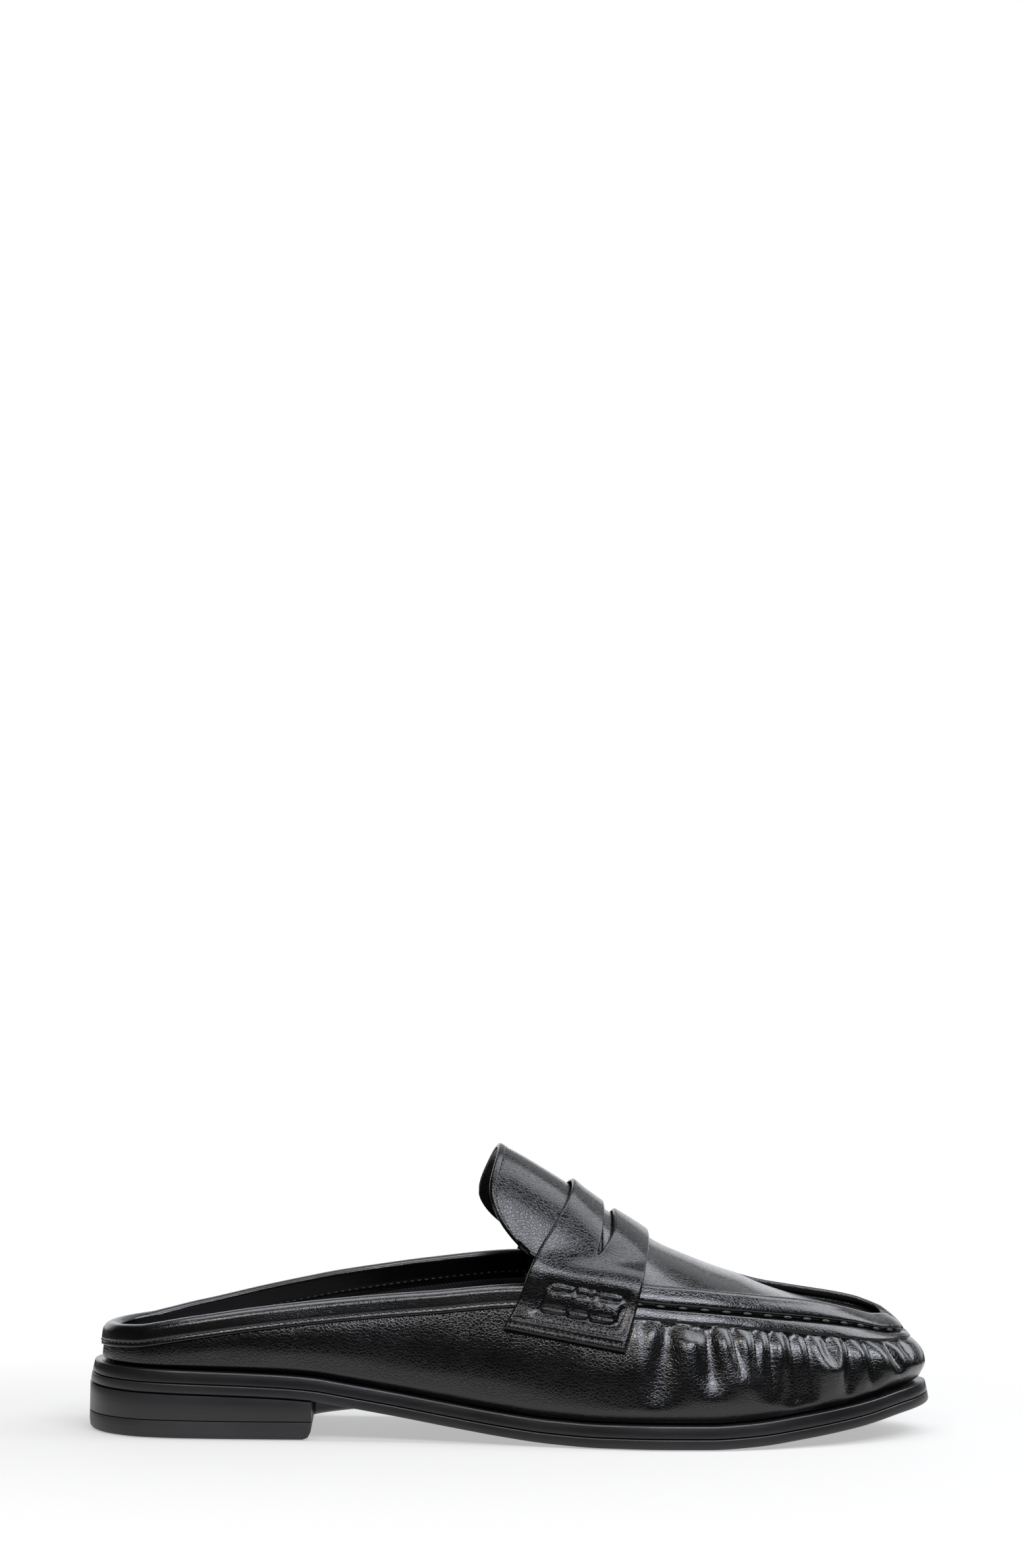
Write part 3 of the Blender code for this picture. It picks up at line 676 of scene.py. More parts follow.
def make_upper():
    """Sides and apron in one hollow wall, open at the collar, the throat and underneath."""
    skin = Skin()
    throat = int(np.argmin(np.abs(SHARES - THROAT)))
    height = side_height(LOOP, SIDES)
    tall = height / MM
    lip = lip_share(LOOP)
    plain = 1 - SEAM_DEPTH / tall

    rises = [plain * f for f in 1 - (1 - np.linspace(0, 1, 50)) ** 1.12]
    rises += [1 - depth / tall for depth in np.arange(SEAM_DEPTH - 0.25, 3.9, -0.25)]
    outer = []
    for rise in rises:
        depth = (1 - rise) * tall
        out = side_step(RUN, depth, LOOP, tall)
        outer.append(skin.row(wall(LOOP, SIDES, rise, out * MM), RUN, depth))
    count = len(ROLL_TURNS)
    rise = lip_rise(LOOP, SIDES)
    for k, turn in enumerate(ROLL_TURNS):
        out, depth = roll(turn, rise)
        flat = 3.9 * (1 - k / (count - 1)) + 0.2
        bare = -0.6 * soft_step(k, count - 5, count - 1)
        depth = flat + (depth - flat) * lip
        out = bare + (out - bare) * lip
        outer.append(skin.row(below_edge(LOOP, SIDES, depth, out), RUN, depth))
    skin.loft(outer)

    front = (LOOP > THROAT - 1e-6).astype(float)
    scale = (1 - front * 0.0065 / height) / (1 - front * 0.18)
    inner = [skin.row(wall(LOOP, SIDES, rise * scale, -WALL), RUN) for rise in np.linspace(0, 0.82, 8)]
    top, inset = top_edge(LOOP, SIDES)
    under = flank(LOOP, SIDES, inset + WALL + 0.0026 * lip * front, top - front * (WALL + 0.0036 * lip))
    inner.append(skin.row(under, RUN))
    skin.loft(inner)
    skin.join(outer[0], inner[0], closed=True)

    size = len(LOOP)
    ahead = np.arange(throat, size - throat + 1)
    behind = np.concatenate([np.arange(ahead[-1], size), np.arange(0, throat + 1)])
    skin.join(outer[-1][behind], inner[-1][behind])

    points = np.concatenate(skin.points)
    over_edge, under_edge = outer[-1][ahead], inner[-1][ahead]
    bed, base = points[over_edge], points[under_edge]
    middle = len(ahead) // 2
    part = (ACROSS[1:-1, None] + 1) / 2
    first_rows = []
    for edge_row, ends, drop in ((over_edge, bed, 0.0), (under_edge, base, WALL * 1.15)):
        rows = []
        for k in range(middle):
            left, right = bed[k], bed[-1 - k]
            tiled = (np.tile(p, (len(part), 1)) for p in (left, right))
            arch = crown(*tiled, SHARES[throat + k], ACROSS[1:-1])
            arch[:, :2] = (ends[k] + (ends[-1 - k] - ends[k]) * part)[:, :2]
            arch[:, 2] -= drop
            rows.append(np.concatenate([edge_row[k : k + 1], skin.row(arch), edge_row[-1 - k :][:1]]))
        rows.append(np.full(len(part) + 2, edge_row[middle]))
        skin.loft(rows, closed=False)
        first_rows.append(rows[0])
    skin.join(*first_rows)
    skin.make("gathered_upper", LEATHER, "upper")


def make_lining():
    """Twill lining inside the quarters, from the insole up to the collar's facing."""
    skin = Skin()
    keep = LOOP < THROAT
    turn = np.argmax(~keep)
    order = np.concatenate([np.arange(len(LOOP) - (keep.sum() - turn), len(LOOP)), np.arange(turn)])
    shares, sides, run = LOOP[order], SIDES[order], RUN[order]
    foot = side_height(shares, sides) / MM - 4.2
    rows = []
    for out, parts in ((-2.50, np.linspace(0, 1, 14)), (-2.12, np.linspace(1, 0, 4))):
        for f in parts:
            depth = foot + (6.6 - foot) * f
            rows.append(skin.row(below_edge(shares, sides, depth, out), run, depth))
    skin.loft(rows + rows[:1], closed=False)
    for column in (0, -1):
        loop = np.array([row[column] for row in rows])
        skin.join(loop[: len(loop) // 2], loop[::-1][: len(loop) // 2])
    mesh = skin.mesh("quarter_lining", TWILL)
    dress("quarter_lining", mesh, "upper", replaces=False)


def sole_section(name, finish, node, section, caps):
    """A piece that follows the sole's outline; the section gives insets and levels (mm)."""
    skin = Skin()
    rows = [skin.row(on_sole(LOOP, SIDES, i * MM, l * MM), RUN, l) for i, l in section]
    if caps:
        skin.loft(rows)
        skin.cap(rows[0], LAST)
        skin.cap(rows[-1], LAST)
    else:
        skin.loft(rows + rows[:1])
    return skin.make(name, finish, node)


def arc(inset, level, radius, start, end, steps=5):
    """Points of a rounded corner of a section; angles in degrees, 0 pointing inward."""
    turns = np.radians(np.linspace(start, end, steps))
    return [(inset + radius * np.cos(t), level + radius * np.sin(t)) for t in turns]


def make_sole():
    thick, lean = OUTSOLE_THICK / MM, EDGE_LEAN / MM
    low, high = (OUTSOLE_THICK + GAP) / MM, (OUTSOLE_THICK + GAP + WELT_THICK) / MM
    reach = (WELT_WIDTH + GAP) / MM
    section = [(4.0, 0.0)] + arc(0.95, 0.75, 0.75, 270, 180) + [(lean / 2 - 0.25, 2.2)]
    section += arc(lean / 2 + 0.15, thick - 0.35, 0.35, 180, 90) + [(reach, thick), (reach, high)]
    sole_section("outsole_edge", SOLE_EDGE, "outsole", section, True)

    section = [(2.2, low)] + arc(lean / 2 + 0.3, low + 0.3, 0.3, 270, 180)
    section += [(lean - 0.15, high - 0.9)] + arc(lean + 0.55, high - 0.6, 0.6, 180, 90)
    section += [(3.4, high), (4.0, high - 0.25), (4.6, high), (WELT_WIDTH / MM, high), (WELT_WIDTH / MM, low)]
    sole_section("welt_strip", WELT_EDGE, "welt", section, False)

    inset = (FEATHER_INSET + WALL + 2 * GAP) / MM
    base = (FEATHER_LEVEL + GAP) / MM
    top = base + INSOLE_THICK / MM
    section = [(inset, base), (inset, top - 0.9)] + arc(inset + 0.9, top - 0.9, 0.9, 180, 90)
    section += [(inset + 5.0, top - 0.1), (inset + 9.0, top - 0.35)]
    sole_section("insole_cover", INSOLE_LEATHER, "insole", section, True)


def plain_mesh(thing):
    """The mesh of an object with its modifiers applied."""
    shape = thing.evaluated_get(bpy.context.evaluated_depsgraph_get())
    made = bpy.data.meshes.new_from_object(shape)
    made.name = thing.name
    return made


def heel_piece(name, finish, node, levels):
    """A layer under the heel with a flat front; each level gives inset, setback and height."""
    skin = Skin()
    shares = BREAST * (1 - np.cos(np.linspace(0, np.pi / 2, 70)))
    count = len(shares) - 1
    loop = np.concatenate([shares, shares[::-1][:-1]])
    side = np.concatenate([-np.ones(count + 1), np.ones(count)])
    rows = []
    for inset, setback, height in levels:
        at = loop * (1 - setback * MM / (BREAST * LENGTH))
        level = height(at) if callable(height) else height
        rows.append(skin.row(flank(at, side, inset * MM, level)))
    skin.loft(rows)
    for row in (rows[0], rows[-1]):
        skin.join(row[: count + 1], np.concatenate([row[:1], row[:count:-1]]))
    thing = bpy.data.objects.new(name, skin.mesh(name, finish))
    bpy.context.scene.collection.objects.link(thing)
    bevel = thing.modifiers.new("edges", "BEVEL")
    bevel.width = 0.00035
    bevel.segments = 2
    bevel.limit_method = "ANGLE"
    bevel.angle_limit = np.radians(50)
    mesh = plain_mesh(thing)
    bpy.data.objects.remove(thing)
    mesh.shade_smooth()
    mesh.set_sharp_from_angle(angle=np.radians(40))
    return dress(name, mesh, node)


def make_heel():
    lift = LIFT_HEIGHT - GAP
    levels = (
        (0.9, 2.6, 0.0),
        (0.25, 1.0, 0.0007),
        (0.05, 0.2, 0.0022),
        (0.0, 0.0, 0.0030),
        (0.0, 0.0, lift),
    )
    heel_piece("top_lift_rubber", LIFT_RUBBER, "top_lift", levels)
    levels = (
        (0.0, 0.0, LIFT_HEIGHT),
        (0.0, 0.0, lambda at: (LIFT_HEIGHT + sole_height(at)) / 2),
        (0.0, 0.0, lambda at: sole_height(at) - GAP),
    )
    heel_piece("heel_stack", HEEL_EDGE, "heel_block", levels)


def make_wedge():
    """The tapered block that backs the heel's front, under the shank."""
    skin = Skin()
    start = BREAST + WEDGE_GAP / LENGTH
    rows = []
    for f in np.linspace(0, 1, 30):
        share = start + (WEDGE_END - start) * f
        half = WEDGE_HALF * (1 - 0.26 * f)
        top = sole_height(share) - GAP
        deep = WEDGE_DEPTH * (0.91 * (1 - f) ** 1.3 + 0.09)
        centre = flank(share, -1, 0, 0)[1] + flank(share, 1, 0, 0)[1]
        turn = np.radians(np.linspace(0, 180, 25))
        y = centre / 2 + half * np.sign(np.cos(turn)) * np.abs(np.cos(turn)) ** 0.5
        z = top - deep * np.sin(turn) ** 0.6
        rows.append(skin.row(np.stack([0 * y + (share - 0.5) * LENGTH, y, z], axis=1)))
    skin.loft(rows)
    for row in (rows[0], rows[-1]):
        skin.join(row[:12], row[:12:-1])
    skin.make("shank_block", SOLE_EDGE, "shank_wedge")


BINDING_OUT = 5.7
BINDING_IN = 8.0
BINDING_STITCH = 4.2
FACING_STITCH = 6.0
RIM_STITCH = 2.6


def binding_section():
    """Section of the folded edge strip: outward and depth (mm), as a closed outline."""
    outside = []
    for depth in np.linspace(BINDING_OUT - 0.15, 0.9, 22):
        thin = 0.45 + 1.15 * (1 - depth / BINDING_OUT)
        ditch = 0.22 * np.exp(-(((depth - BINDING_STITCH) / 0.4) ** 2))
        outside.append((0.3 + thin - ditch, depth))
    turns = np.radians(np.linspace(8, 172, 11))
    over = [(-0.8 + 2.55 * np.cos(t), 0.7 - 1.9 * np.sin(t)) for t in turns]
    inside = []
    for depth in np.linspace(0.9, BINDING_IN - 0.15, 22):
        thin = 0.45 + 0.6 * (1 - depth / BINDING_IN)
        ditch = 0.2 * np.exp(-(((depth - FACING_STITCH) / 0.4) ** 2))
        inside.append((-2.3 - thin + ditch, depth))
    back = [(-2.35, BINDING_IN), (-2.3, 4.0), (-2.3, 0.2), (-2.0, -0.3), (-1.0, -0.35), (0.0, -0.3)]
    back += [(0.3, 0.2), (0.3, 3.0), (0.35, BINDING_OUT)]
    return outside + over + inside + back


def collar_path():
    """Shares and sides round the collar, from the outer strap end to the inner one."""
    shares = SHARES[SHARES <= BINDING_END]
    path = np.concatenate([shares[::-1], shares[1:]])
    side = np.concatenate([-np.ones(len(shares)), np.ones(len(shares) - 1)])
    return path, side


def make_binding():
    """The folded edge strip over the collar."""
    skin = Skin()
    shares, sides = collar_path()
    rows = [skin.row(below_edge(shares, sides, depth, out), 0.0, depth) for out, depth in binding_section()]
    skin.loft(rows + rows[:1], closed=False)
    for column in (0, -1):
        loop = np.array([row[column] for row in rows])
        half = len(loop) // 2
        skin.join(loop[:half], loop[::-1][:half])
    skin.make("collar_edge", EDGE_LEATHER, "collar_binding")


def tongue_section(share, across):
    """The tongue's upper face; its sides drop away and trail behind its ridge."""
    back = np.clip((THROAT - share) / TONGUE_FREE, 0, 1)
    left = wall(share, -1.0 + 0 * share, 1.0 + 0 * share)
    right = wall(share, 1.0 + 0 * share, 1.0 + 0 * share)
    half = (right[..., 1] - left[..., 1]) / 2 * TONGUE_NARROW
    half = half + (TONGUE_HALF - half) * back
    middle = (right[..., 1] + left[..., 1]) / 2 * (1 - back)
    ridge = smooth(RIDGE, 1, share) * INSTEP_HEIGHT
    rise = ridge - (left[..., 2] + right[..., 2]) / 2
    drop = rise * TONGUE_NARROW**ARCH_POWER * (1 - back) + TONGUE_DROP * back
    fall = drop * np.abs(across) ** ARCH_POWER
    tilt = (right[..., 2] - left[..., 2]) / 2 * TONGUE_NARROW * across * (1 - back)
    x = (left[..., 0] + right[..., 0]) / 2 - TONGUE_TRAIL * fall * back
    return np.stack([x, middle + half * across, ridge - fall + tilt], axis=-1)


def normals(grid):
    """Unit normals of a grid of points, on its upper side."""
    found = np.cross(np.gradient(grid, axis=0), np.gradient(grid, axis=1))
    found /= np.linalg.norm(found, axis=2)[:, :, None]
    return found * np.where(found[:, :, 2:].mean() < 0, -1, 1)


def ease(grid, passes):
    """Evens out a grid across the shoe, with its ends held."""
    for _ in range(passes):
        grid = grid.copy()
        grid[:, 1:-1] = grid[:, 1:-1] * 0.5 + (grid[:, :-2] + grid[:, 2:]) * 0.25
    return grid


def spread(grid, axis):
    """Distance along one axis of a grid from its first row or column (mm)."""
    steps = np.linalg.norm(np.diff(grid, axis=axis), axis=2) / MM
    start = np.zeros_like(np.take(steps, [0], axis=axis))
    return np.concatenate([start, np.cumsum(steps, axis=axis)], axis=axis)


def rounded(away, radius):
    """Height of a rounded edge, from 0 at the edge to 1 at the radius."""
    return np.sqrt(1 - (1 - np.clip(away / radius, 0, 1)) ** 2)


def make_tongue():
    """The apron's rear extension, with a bound edge and a stitch row inside it."""
    across = np.sin(np.linspace(-1, 1, 141) * np.pi / 2)
    rear = TONGUE_REAR - 0.003 * across + TONGUE_CORNER * np.abs(across) ** (12 + 3 * across)
    start = THROAT - STRAP_GAP / LENGTH
    rows = []
    for f in np.concatenate([np.linspace(0, 0.9, 50)[:-1], np.linspace(0.9, 1, 16)]):
        rows.append(tongue_section(start - (start - rear) * f, across * (1 - 0.03 * f**8)))
    grid = np.array(rows)
    lift = normals(grid)
    fore, left = spread(grid, 0), spread(grid, 1)
    away = np.minimum(fore[-1:] - fore, np.minimum(left, left[:, -1:] - left))
    rim = 0.30 * (1 - soft_step(away, 1.9, 2.3)) - 0.16 * np.exp(-(((away - 2.6) / 0.35) ** 2))
    dent = 0.25 * uneven(grid[..., 0] / MM, grid[..., 1] / MM, 16, 12, 31) * soft_step(away, 3, 9)
    high = TONGUE_THICK / MM * 0.5 * (rounded(away, 0.9) - 1) + rim + dent
    low = -(TONGUE_THICK / MM) * (0.5 + 0.5 * rounded(away, 0.9))
    top = grid + lift * high[..., None] * MM
    skin = Skin()
    above = [skin.row(points) for points in top]
    below = [skin.row(points) for points in grid + lift * low[..., None] * MM]
    close_sheet(skin, above, below)
    skin.make("tongue_leather", STRAP_LEATHER, "tongue")

    ends = fore[-1:] - fore
    sides = []
    for flip in (1, -1):
        inward = (left if flip > 0 else left[:, -1:] - left)[:, ::flip]
        line = level_line(inward, top[:, ::flip], RIM_STITCH)
        sides.append(line[np.arange(len(grid)) > 13][ends[14:, 60] > RIM_STITCH + 1])
    rear = level_line(ends.T[:, ::-1], top.transpose(1, 0, 2)[:, ::-1], RIM_STITCH)
    inside = np.minimum(left[-6], left[-6, -1] - left[-6]) > RIM_STITCH + 1
    path = np.concatenate([sides[0], rear[inside], sides[1][::-1]])
    stitch_row("tongue_stitches", path, (0.0, 0.0, 0.02), (2.0, 1.4, 0.48, 0.44), "tongue")


def level_line(levels, points, level):
    """The point of each row of a grid where the rising levels reach the given level."""
    line = []
    for row, places in zip(levels, points):
        line.append([np.interp(level, row, places[:, k]) for k in range(3)])
    return np.array(line)


def close_sheet(skin, above, below):
    """Joins an upper and a lower grid of rows into a closed sheet."""
    skin.loft(above, closed=False)
    skin.loft(below, closed=False)
    for side in (0, -1):
        skin.join(above[side], below[side])
        skin.join([row[side] for row in above], [row[side] for row in below])


def strap_line(reach, share):
    """The face under the strap at a share, from -2 at the outer welt over 0 at the ridge to 2."""
    side = np.where(reach < 0, -1.0, 1.0)
    rise = np.clip(2 - np.abs(reach), 0, 1)
    low = wall(share, side, rise)
    left, right = wall(share, -1 + 0 * share, 1 + 0 * share), wall(share, 1 + 0 * share, 1 + 0 * share)
    arch = crown(left, right, share, np.clip(reach, -1, 1))
    tongue_mid = tongue_section(share, 0 * share)[..., 1]
    tongue_half = tongue_section(share, 1 + 0 * share)[..., 1] - tongue_mid
    where = np.clip((arch[..., 1] - tongue_mid) / tongue_half, -1, 1)
    trail = (arch[..., 0] - tongue_section(share, where)[..., 0]) / LENGTH
    arch[..., 2] = np.maximum(arch[..., 2], tongue_section(share + trail, where)[..., 2])
    return np.where((np.abs(reach) > 1)[..., None], low, arch)


BARS = (7.8, 16.3, 23.3, 31.7)
PILLOW_LOW, PILLOW_HIGH = 9.4, 14.8
THONG_LOW, THONG_HIGH = 8.4, 15.8
ROW_LOW, ROW_HIGH = 2.2, 4.0


def strap_relief(along, up, width):
    """Relief of the strap's ends: hem between two stitch rows, and the whipped panel (mm)."""
    hem = soft_step(along, 0.8, 1.8) * soft_step(width - along, 1.2, 2.2)
    step = 0.32 * np.exp(-((np.abs(up - (ROW_LOW + ROW_HIGH) / 2) / 0.72) ** 4)) * hem
    for row in (ROW_LOW, ROW_HIGH):
        step -= 0.24 * np.exp(-(((up - row) / 0.33) ** 2)) * hem
    first, last = BARS[0], BARS[-1]
    beside = np.maximum(np.maximum(first - along, along - last), 0)
    above = np.maximum(np.maximum(THONG_LOW - up, up - THONG_HIGH), 0)
    near = np.exp(-(beside**2 + above**2) / 2.4**2)
    step -= 0.70 * near
    for start, end in zip(BARS, BARS[1:]):
        u = np.clip((along - start) / (end - start), 0, 1)
        v = np.clip((up - PILLOW_LOW) / (PILLOW_HIGH - PILLOW_LOW), 0, 1)
        step += 1.25 * (16 * u * (1 - u) * v * (1 - v)) ** 0.4
        for row in (THONG_LOW, THONG_HIGH):
            inside = soft_step(along, start + 0.3, start + 0.9) * soft_step(end - along, 0.3, 0.9)
            step += 0.95 * inside * np.exp(-((np.abs(up - row) / 0.62) ** 4))
    for bar in BARS:
        reach = soft_step(up, PILLOW_LOW - 0.9, PILLOW_LOW) * soft_step(PILLOW_HIGH + 0.9 - up, 0.0, 0.9)
        step += 0.55 * reach * np.exp(-((np.abs(along - bar) / 0.7) ** 4))
    return step


def make_strap():
    """Saddle strap over the instep, with a leaf-shaped slot and whipped ends."""
    tail = np.linspace(0, 1, 35)[1:]
    over = np.linspace(-1, 1, 163)
    past = np.concatenate([tail[::-1], 0 * over, tail])
    side = np.concatenate([-1 + 0 * tail, over, 1 + 0 * tail])
    edges = []
    for start, back, tail_back, drop in (STRAP_REACH["rear"], STRAP_REACH["fore"]):
        share = start - back * np.abs(side) ** 2.6 - tail_back * past
        edges.append((share, side + np.sign(side) * past * drop))
    (rear, rear_reach), (fore, fore_reach) = edges

    middle = strap_line(side, SLOT_REAR + 0 * side)
    y = (middle[:, 1] - tongue_section(np.array(THROAT), np.array(0.0))[1]) / SLOT_HALF
    wide = np.clip(SLOT_WIDE * (1 - y**6), 0, None) * (past == 0)
    slot = SLOT_REAR - SLOT_BEND / LENGTH * np.clip(y, -1.1, 1.1) ** 4
    split = (slot - rear) / (fore - rear)
    split = split + (0.50 - split) * soft_step(np.abs(side) + past, 0.74, 1.05)
    steps = np.linspace(0, 1, 34)
    steps = 0.45 * steps + 0.55 * (1 - np.cos(np.pi * steps)) / 2

    parts = []
    for f in steps:
        parts.append(split * f)
    for f in steps:
        start = split + wide / LENGTH / (fore - rear)
        parts.append(start + (1 - start) * f)
    parts = np.array(parts)
    reach = rear_reach + (fore_reach - rear_reach) * parts
    share = rear + (fore - rear) * parts
    grid = np.array([strap_line(r, s) for r, s in zip(reach, share)])
    grid = ease(grid, 90)
    count = len(steps)
    lift = np.concatenate([normals(grid[:count]), normals(grid[count:])])

    along = spread(grid, 0)
    from_left = spread(grid, 1)
    up = np.minimum(from_left, from_left[:, -1:] - from_left)
    width = along[-1:]
    corner = from_left[:, len(tail)][:, None]
    corner_far = (from_left[:, -1] - from_left[:, -1 - len(tail)])[:, None]
    bend = np.where(side < 0, from_left - corner, from_left[:, -1:] - from_left - corner_far)
    bump = 1.5 * np.exp(-((np.abs(bend) / 6.0) ** 2.5))

    open_here = wide > 1e-6
    slot_away = np.concatenate([along[count - 1] - along[:count], along[count:] - along[count]])
    slot_away = np.where(open_here, slot_away, 9.0) + 2.0 * (1 - np.clip(wide / 0.0006, 0, 1))
    away = np.minimum(np.minimum(along, width - along), np.minimum(up, slot_away))
    thick = STRAP_THICK / MM
    lifted = 0.4 * np.exp(-((along / 3.0) ** 2)) * (1 - soft_step(np.abs(side), 0.2, 0.7))
    low = STRAP_GAP / MM + 0.3 + bump + lifted
    high = low + thick * (0.45 + 0.55 * rounded(away, 0.8)) + strap_relief(along, up, width)
    low = low + 0.1 * (1 - rounded(away, 0.4))
    top = grid + lift * high[..., None] * MM
    base = grid + lift * low[..., None] * MM

    skin = Skin()
    sheets = []
    for points in (top, base):
        rows = [skin.row(p) for p in points]
        rows[count] = np.where(open_here, rows[count], rows[count - 1])
        skin.loft(rows[:count], closed=False)
        skin.loft(rows[count:], closed=False)
        sheets.append(rows)
    above, below = sheets
    for row in (0, -1):
        skin.join(above[row], below[row])
    for column in (0, -1):
        skin.join([row[column] for row in above], [row[column] for row in below])
    mouth = np.arange(np.argmax(open_here) - 1, len(side) - np.argmax(open_here[::-1]) + 1)
    for row in (count - 1, count):
        skin.join(above[row][mouth], below[row][mouth])
    skin.make("saddle_strap", STRAP_LEATHER, "strap")

    reach = len(tail) + 10
    for name, flip in (("outer", 1), ("inner", -1)):
        near = slice(None, reach)
        beside = along[:, ::flip][:, 0]
        keep = (beside > 1.6) & (width[:, ::flip][0, 0] - beside > 1.9)
        for label, level in (("low", ROW_LOW), ("high", ROW_HIGH)):
            path = level_line(up[:, ::flip][:, near], top[:, ::flip][:, near], level)[keep]
            row = f"strap_{name}_stitches_{label}"
            stitch_row(row, path, (0.03, 0.0, 0.0), (1.85, 1.35, 0.52, 0.50), "strap")


def stitch_tree():
    """Geometry nodes that lay stitches along a line of points, on the face given by "outward"."""
    tree = bpy.data.node_groups.new("stitches on a line", "GeometryNodeTree")
    sockets = tree.interface
    sockets.new_socket("Line", in_out="INPUT", socket_type="NodeSocketGeometry")
    for name in ("Pitch", "Length", "Width", "Height"):
        sockets.new_socket(name, in_out="INPUT", socket_type="NodeSocketFloat")
    sockets.new_socket("Thread", in_out="INPUT", socket_type="NodeSocketMaterial")
    sockets.new_socket("Stitches", in_out="OUTPUT", socket_type="NodeSocketGeometry")

    def node(kind, inputs=None, **settings):
        made = tree.nodes.new(kind)
        for key, value in settings.items():
            setattr(made, key, value)
        for key, value in (inputs or {}).items():
            if isinstance(value, bpy.types.NodeSocket):
                tree.links.new(value, made.inputs[key])
            else:
                made.inputs[key].default_value = value
        return made.outputs

    given = node("NodeGroupInput")
    curve = node("GeometryNodeMeshToCurve", {0: given["Line"]})
    marks = node("GeometryNodeResampleCurve", {"Curve": curve[0], "Length": given["Pitch"]}, mode="LENGTH")
    tangent = node("GeometryNodeInputTangent")
    outward = node("GeometryNodeInputNamedAttribute", {"Name": "outward"}, data_type="FLOAT_VECTOR")
    along = node("FunctionNodeAlignRotationToVector", {"Vector": tangent[0]}, axis="X")
    turned = node(
        "FunctionNodeAlignRotationToVector",
        {"Rotation": along[0], "Vector": outward[0]},
        axis="Z",
        pivot_axis="X",
    )
    bead = node("GeometryNodeMeshUVSphere", {"Segments": 8, "Rings": 7, "Radius": 0.5})
    size = node("ShaderNodeCombineXYZ", {0: given["Length"], 1: given["Width"], 2: given["Height"]})
    laid = node(
        "GeometryNodeInstanceOnPoints",
        {"Points": marks[0], "Instance": bead[0], "Rotation": turned[0], "Scale": size[0]},
    )
    real = node("GeometryNodeRealizeInstances", {0: laid[0]})
    dyed = node("GeometryNodeSetMaterial", {"Geometry": real[0], "Material": given["Thread"]})
    node("NodeGroupOutput", {0: dyed[0]})
    return tree


STITCHES = stitch_tree()


def stitch_row(name, path, centre, sizes, node):
    """Stitches along a path, standing out from the centre; pitch, length, width, height in mm."""
    along = np.gradient(path, axis=0)
    along /= np.linalg.norm(along, axis=1)[:, None] + 1e-12
    away = path - np.array(centre)
    outward = away - (away * along).sum(axis=1)[:, None] * along
    outward /= np.linalg.norm(outward, axis=1)[:, None]
    line = bpy.data.meshes.new(name)
    line.from_pydata(path.tolist(), [(k, k + 1) for k in range(len(path) - 1)], [])
    stored = line.attributes.new("outward", "FLOAT_VECTOR", "POINT")
    stored.data.foreach_set("vector", outward.ravel())
    thing = bpy.data.objects.new(name, line)
    bpy.context.scene.collection.objects.link(thing)
    modifier = thing.modifiers.new("stitches", "NODES")
    modifier.node_group = STITCHES
    values = {"Thread": THREAD}
    for key, size in zip(("Pitch", "Length", "Width", "Height"), sizes):
        values[key] = size * MM
    for item in STITCHES.interface.items_tree:
        if item.name in values:
            modifier[item.identifier] = values[item.name]
    mesh = plain_mesh(thing)
    bpy.data.objects.remove(thing)
    mesh.shade_smooth()
    return dress(name, mesh, node, replaces=False)


def make_seam_stitches():
    """Large stitches in the groove of the raised seam, and fine ones along the collar."""
    keep = LOOP > 0.632
    path = below_edge(LOOP[keep], SIDES[keep], GROOVE - 0.05, 0.25)
    stitch_row("seam_stitches", path, (0.06, 0.0, 0.02), (6.9, 3.2, 1.0, 0.8), "upper")
    shares, sides = collar_path()
    path = below_edge(shares, sides, BINDING_STITCH, 1.0)
    stitch_row("collar_stitches", path, (-0.04, 0.0, 0.02), (2.1, 1.45, 0.5, 0.5), "collar_binding")
    path = below_edge(shares, sides, FACING_STITCH, -2.72)
    stitch_row("facing_stitches", path, (-0.04, 0.0, 0.02), (2.3, 1.6, 0.5, 0.5), "collar_binding")


def softbox(name, place, aim, width, height, glow, tint):
    """A rectangular studio light; glow is its brightness against a white card."""
    data = bpy.data.lights.new(name, "AREA")
    data.shape = "RECTANGLE"
    data.size = width
    data.size_y = height
    data.energy = glow * width * height * np.pi
    data.color = tint
    thing = bpy.data.objects.new(name, data)
    thing.location = place
    thing.rotation_euler = (Vector(aim) - Vector(place)).to_track_quat("-Z", "Y").to_euler()
    thing.visible_camera = False
    bpy.context.scene.collection.objects.link(thing)


def make_floor():
    """A pale table that goes over into the bright surround at its edge."""
    rim = np.radians(np.arange(0, 360, 5))
    mesh = bpy.data.meshes.new("table")
    points = [(0.40 * np.cos(t), 0.22 * np.sin(t), -0.0003) for t in rim]
    mesh.from_pydata(points, [], [tuple(range(len(points)))])
    finish, shader, draw = new_finish("pale_table", Roughness=0.7)
    shader.inputs["Base Color"].default_value = (0.53, 0.52, 0.495, 1)
    shader.inputs["Specular IOR Level"].default_value = 0.2
    at = draw.stretch(draw.node("TexCoord", {}, output=3), 1 / 0.40, 1 / 0.22, 0.0)
    far = draw.step(draw.node("VectorMath", {0: at}, {"operation": "LENGTH"}, 1), 0.35, 0.95)
    glow = draw.node("Emission", {"Color": (1, 1, 1, 1), "Strength": 1.0})
    mixed = draw.node("MixShader", {0: 0.45 + far * 0.55, 1: Signal(draw.tree, shader.outputs[0]), 2: glow})
    output = finish.node_tree.nodes["Material Output"]
    finish.node_tree.links.new(mixed.socket, output.inputs["Surface"])
    mesh.materials.append(finish)
    thing = bpy.data.objects.new("table", mesh)
    bpy.context.scene.collection.objects.link(thing)


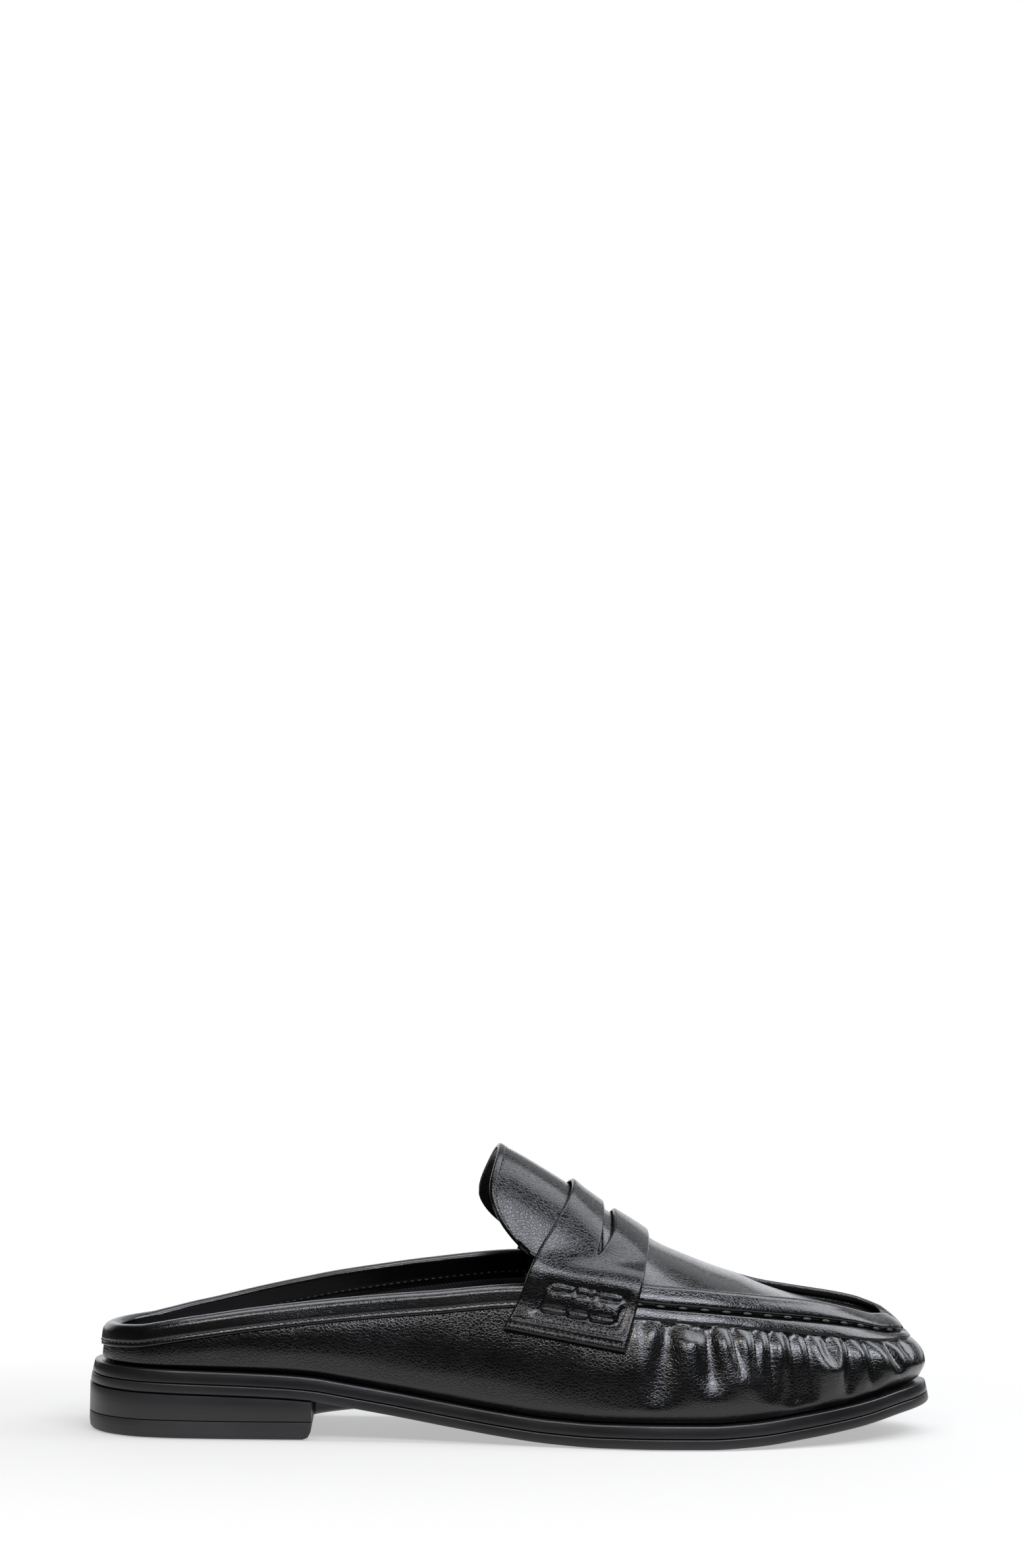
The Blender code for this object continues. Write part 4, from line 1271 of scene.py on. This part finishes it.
def make_surround():
    """White for the camera, dim for reflections."""
    world = bpy.data.worlds.new("studio")
    world.use_nodes = True
    bpy.context.scene.world = world
    tree = world.node_tree
    tree.nodes.clear()
    dim = tree.nodes.new("ShaderNodeBackground")
    dim.inputs["Color"].default_value = (0.9, 0.95, 1.0, 1)
    dim.inputs["Strength"].default_value = 0.03
    white = tree.nodes.new("ShaderNodeBackground")
    white.inputs["Color"].default_value = (1.0, 1.0, 1.0, 1)
    path = tree.nodes.new("ShaderNodeLightPath")
    mix = tree.nodes.new("ShaderNodeMixShader")
    output = tree.nodes.new("ShaderNodeOutputWorld")
    tree.links.new(path.outputs["Is Camera Ray"], mix.inputs[0])
    tree.links.new(dim.outputs[0], mix.inputs[1])
    tree.links.new(white.outputs[0], mix.inputs[2])
    tree.links.new(mix.outputs[0], output.inputs["Surface"])


def make_lights():
    softbox("overhead_softbox", (0.05, 0.05, 1.0), (0.05, 0.05, 0.0), 1.0, 0.50, 5.2, (0.90, 0.93, 1.0))
    softbox("front_left_softbox", (-0.36, -0.80, 0.84), (0.0, 0.0, 0.03), 0.30, 0.26, 14.0, (1.0, 0.94, 0.90))
    softbox("front_right_softbox", (0.32, -0.82, 0.84), (0.0, 0.0, 0.03), 0.80, 0.40, 12.0, (0.88, 0.91, 1.0))
    softbox("back_softbox", (0.15, 0.95, 0.85), (0.0, 0.0, 0.03), 1.6, 0.5, 0.9, (0.95, 0.97, 1.0))
    softbox("back_panel", (0.1, 1.1, 0.26), (0.0, 0.0, 0.05), 2.2, 0.45, 1.3, (0.95, 0.97, 1.0))
    softbox("toe_softbox", (0.75, 0.12, 0.68), (0.10, 0.0, 0.03), 0.5, 0.7, 6.0, (0.92, 0.95, 1.0))


def make_camera():
    """The photograph's view: distance, bearing, height, roll and the focal length in its pixels."""
    distance, bearing, height, lean = 1.05, np.radians(-2.0), 0.145, np.radians(0.8)
    focal, aim_x, aim_y = 4940.0, 781.0, 1966.0
    frame_height, centre_x, centre_y = 2380, 776.0, 1190.0
    target = Vector((0, 0, 0.042))
    climb = np.arcsin((height - target.z) / distance)
    level = Vector((np.sin(bearing), -np.cos(bearing), 0)) * np.cos(climb)
    place = target + distance * (level + Vector((0, 0, np.sin(climb))))
    look = (target - place).normalized()
    right = look.cross(Vector((0, 0, 1))).normalized()
    up = right.cross(look)
    right, up = right * np.cos(lean) + up * np.sin(lean), up * np.cos(lean) - right * np.sin(lean)
    tilt = np.arctan((aim_y - centre_y) / focal)
    look, up = look * np.cos(tilt) + up * np.sin(tilt), up * np.cos(tilt) - look * np.sin(tilt)
    pan = np.arctan((centre_x - aim_x) / focal)
    look, right = look * np.cos(pan) + right * np.sin(pan), right * np.cos(pan) - look * np.sin(pan)
    data = bpy.data.cameras.new("photo_view")
    data.sensor_fit = "VERTICAL"
    data.sensor_height = 36
    data.lens = focal * 36 / frame_height
    camera = bpy.data.objects.new("photo_view", data)
    matrix = Matrix((right, up, -look)).transposed().to_4x4()
    matrix.translation = place
    camera.matrix_world = matrix
    bpy.context.scene.collection.objects.link(camera)
    bpy.context.scene.camera = camera


make_upper()
make_lining()
make_sole()
make_heel()
make_wedge()
make_binding()
make_tongue()
make_strap()
make_seam_stitches()
make_floor()
make_surround()
make_lights()
make_camera()
bpy.context.scene.view_settings.view_transform = "Standard"
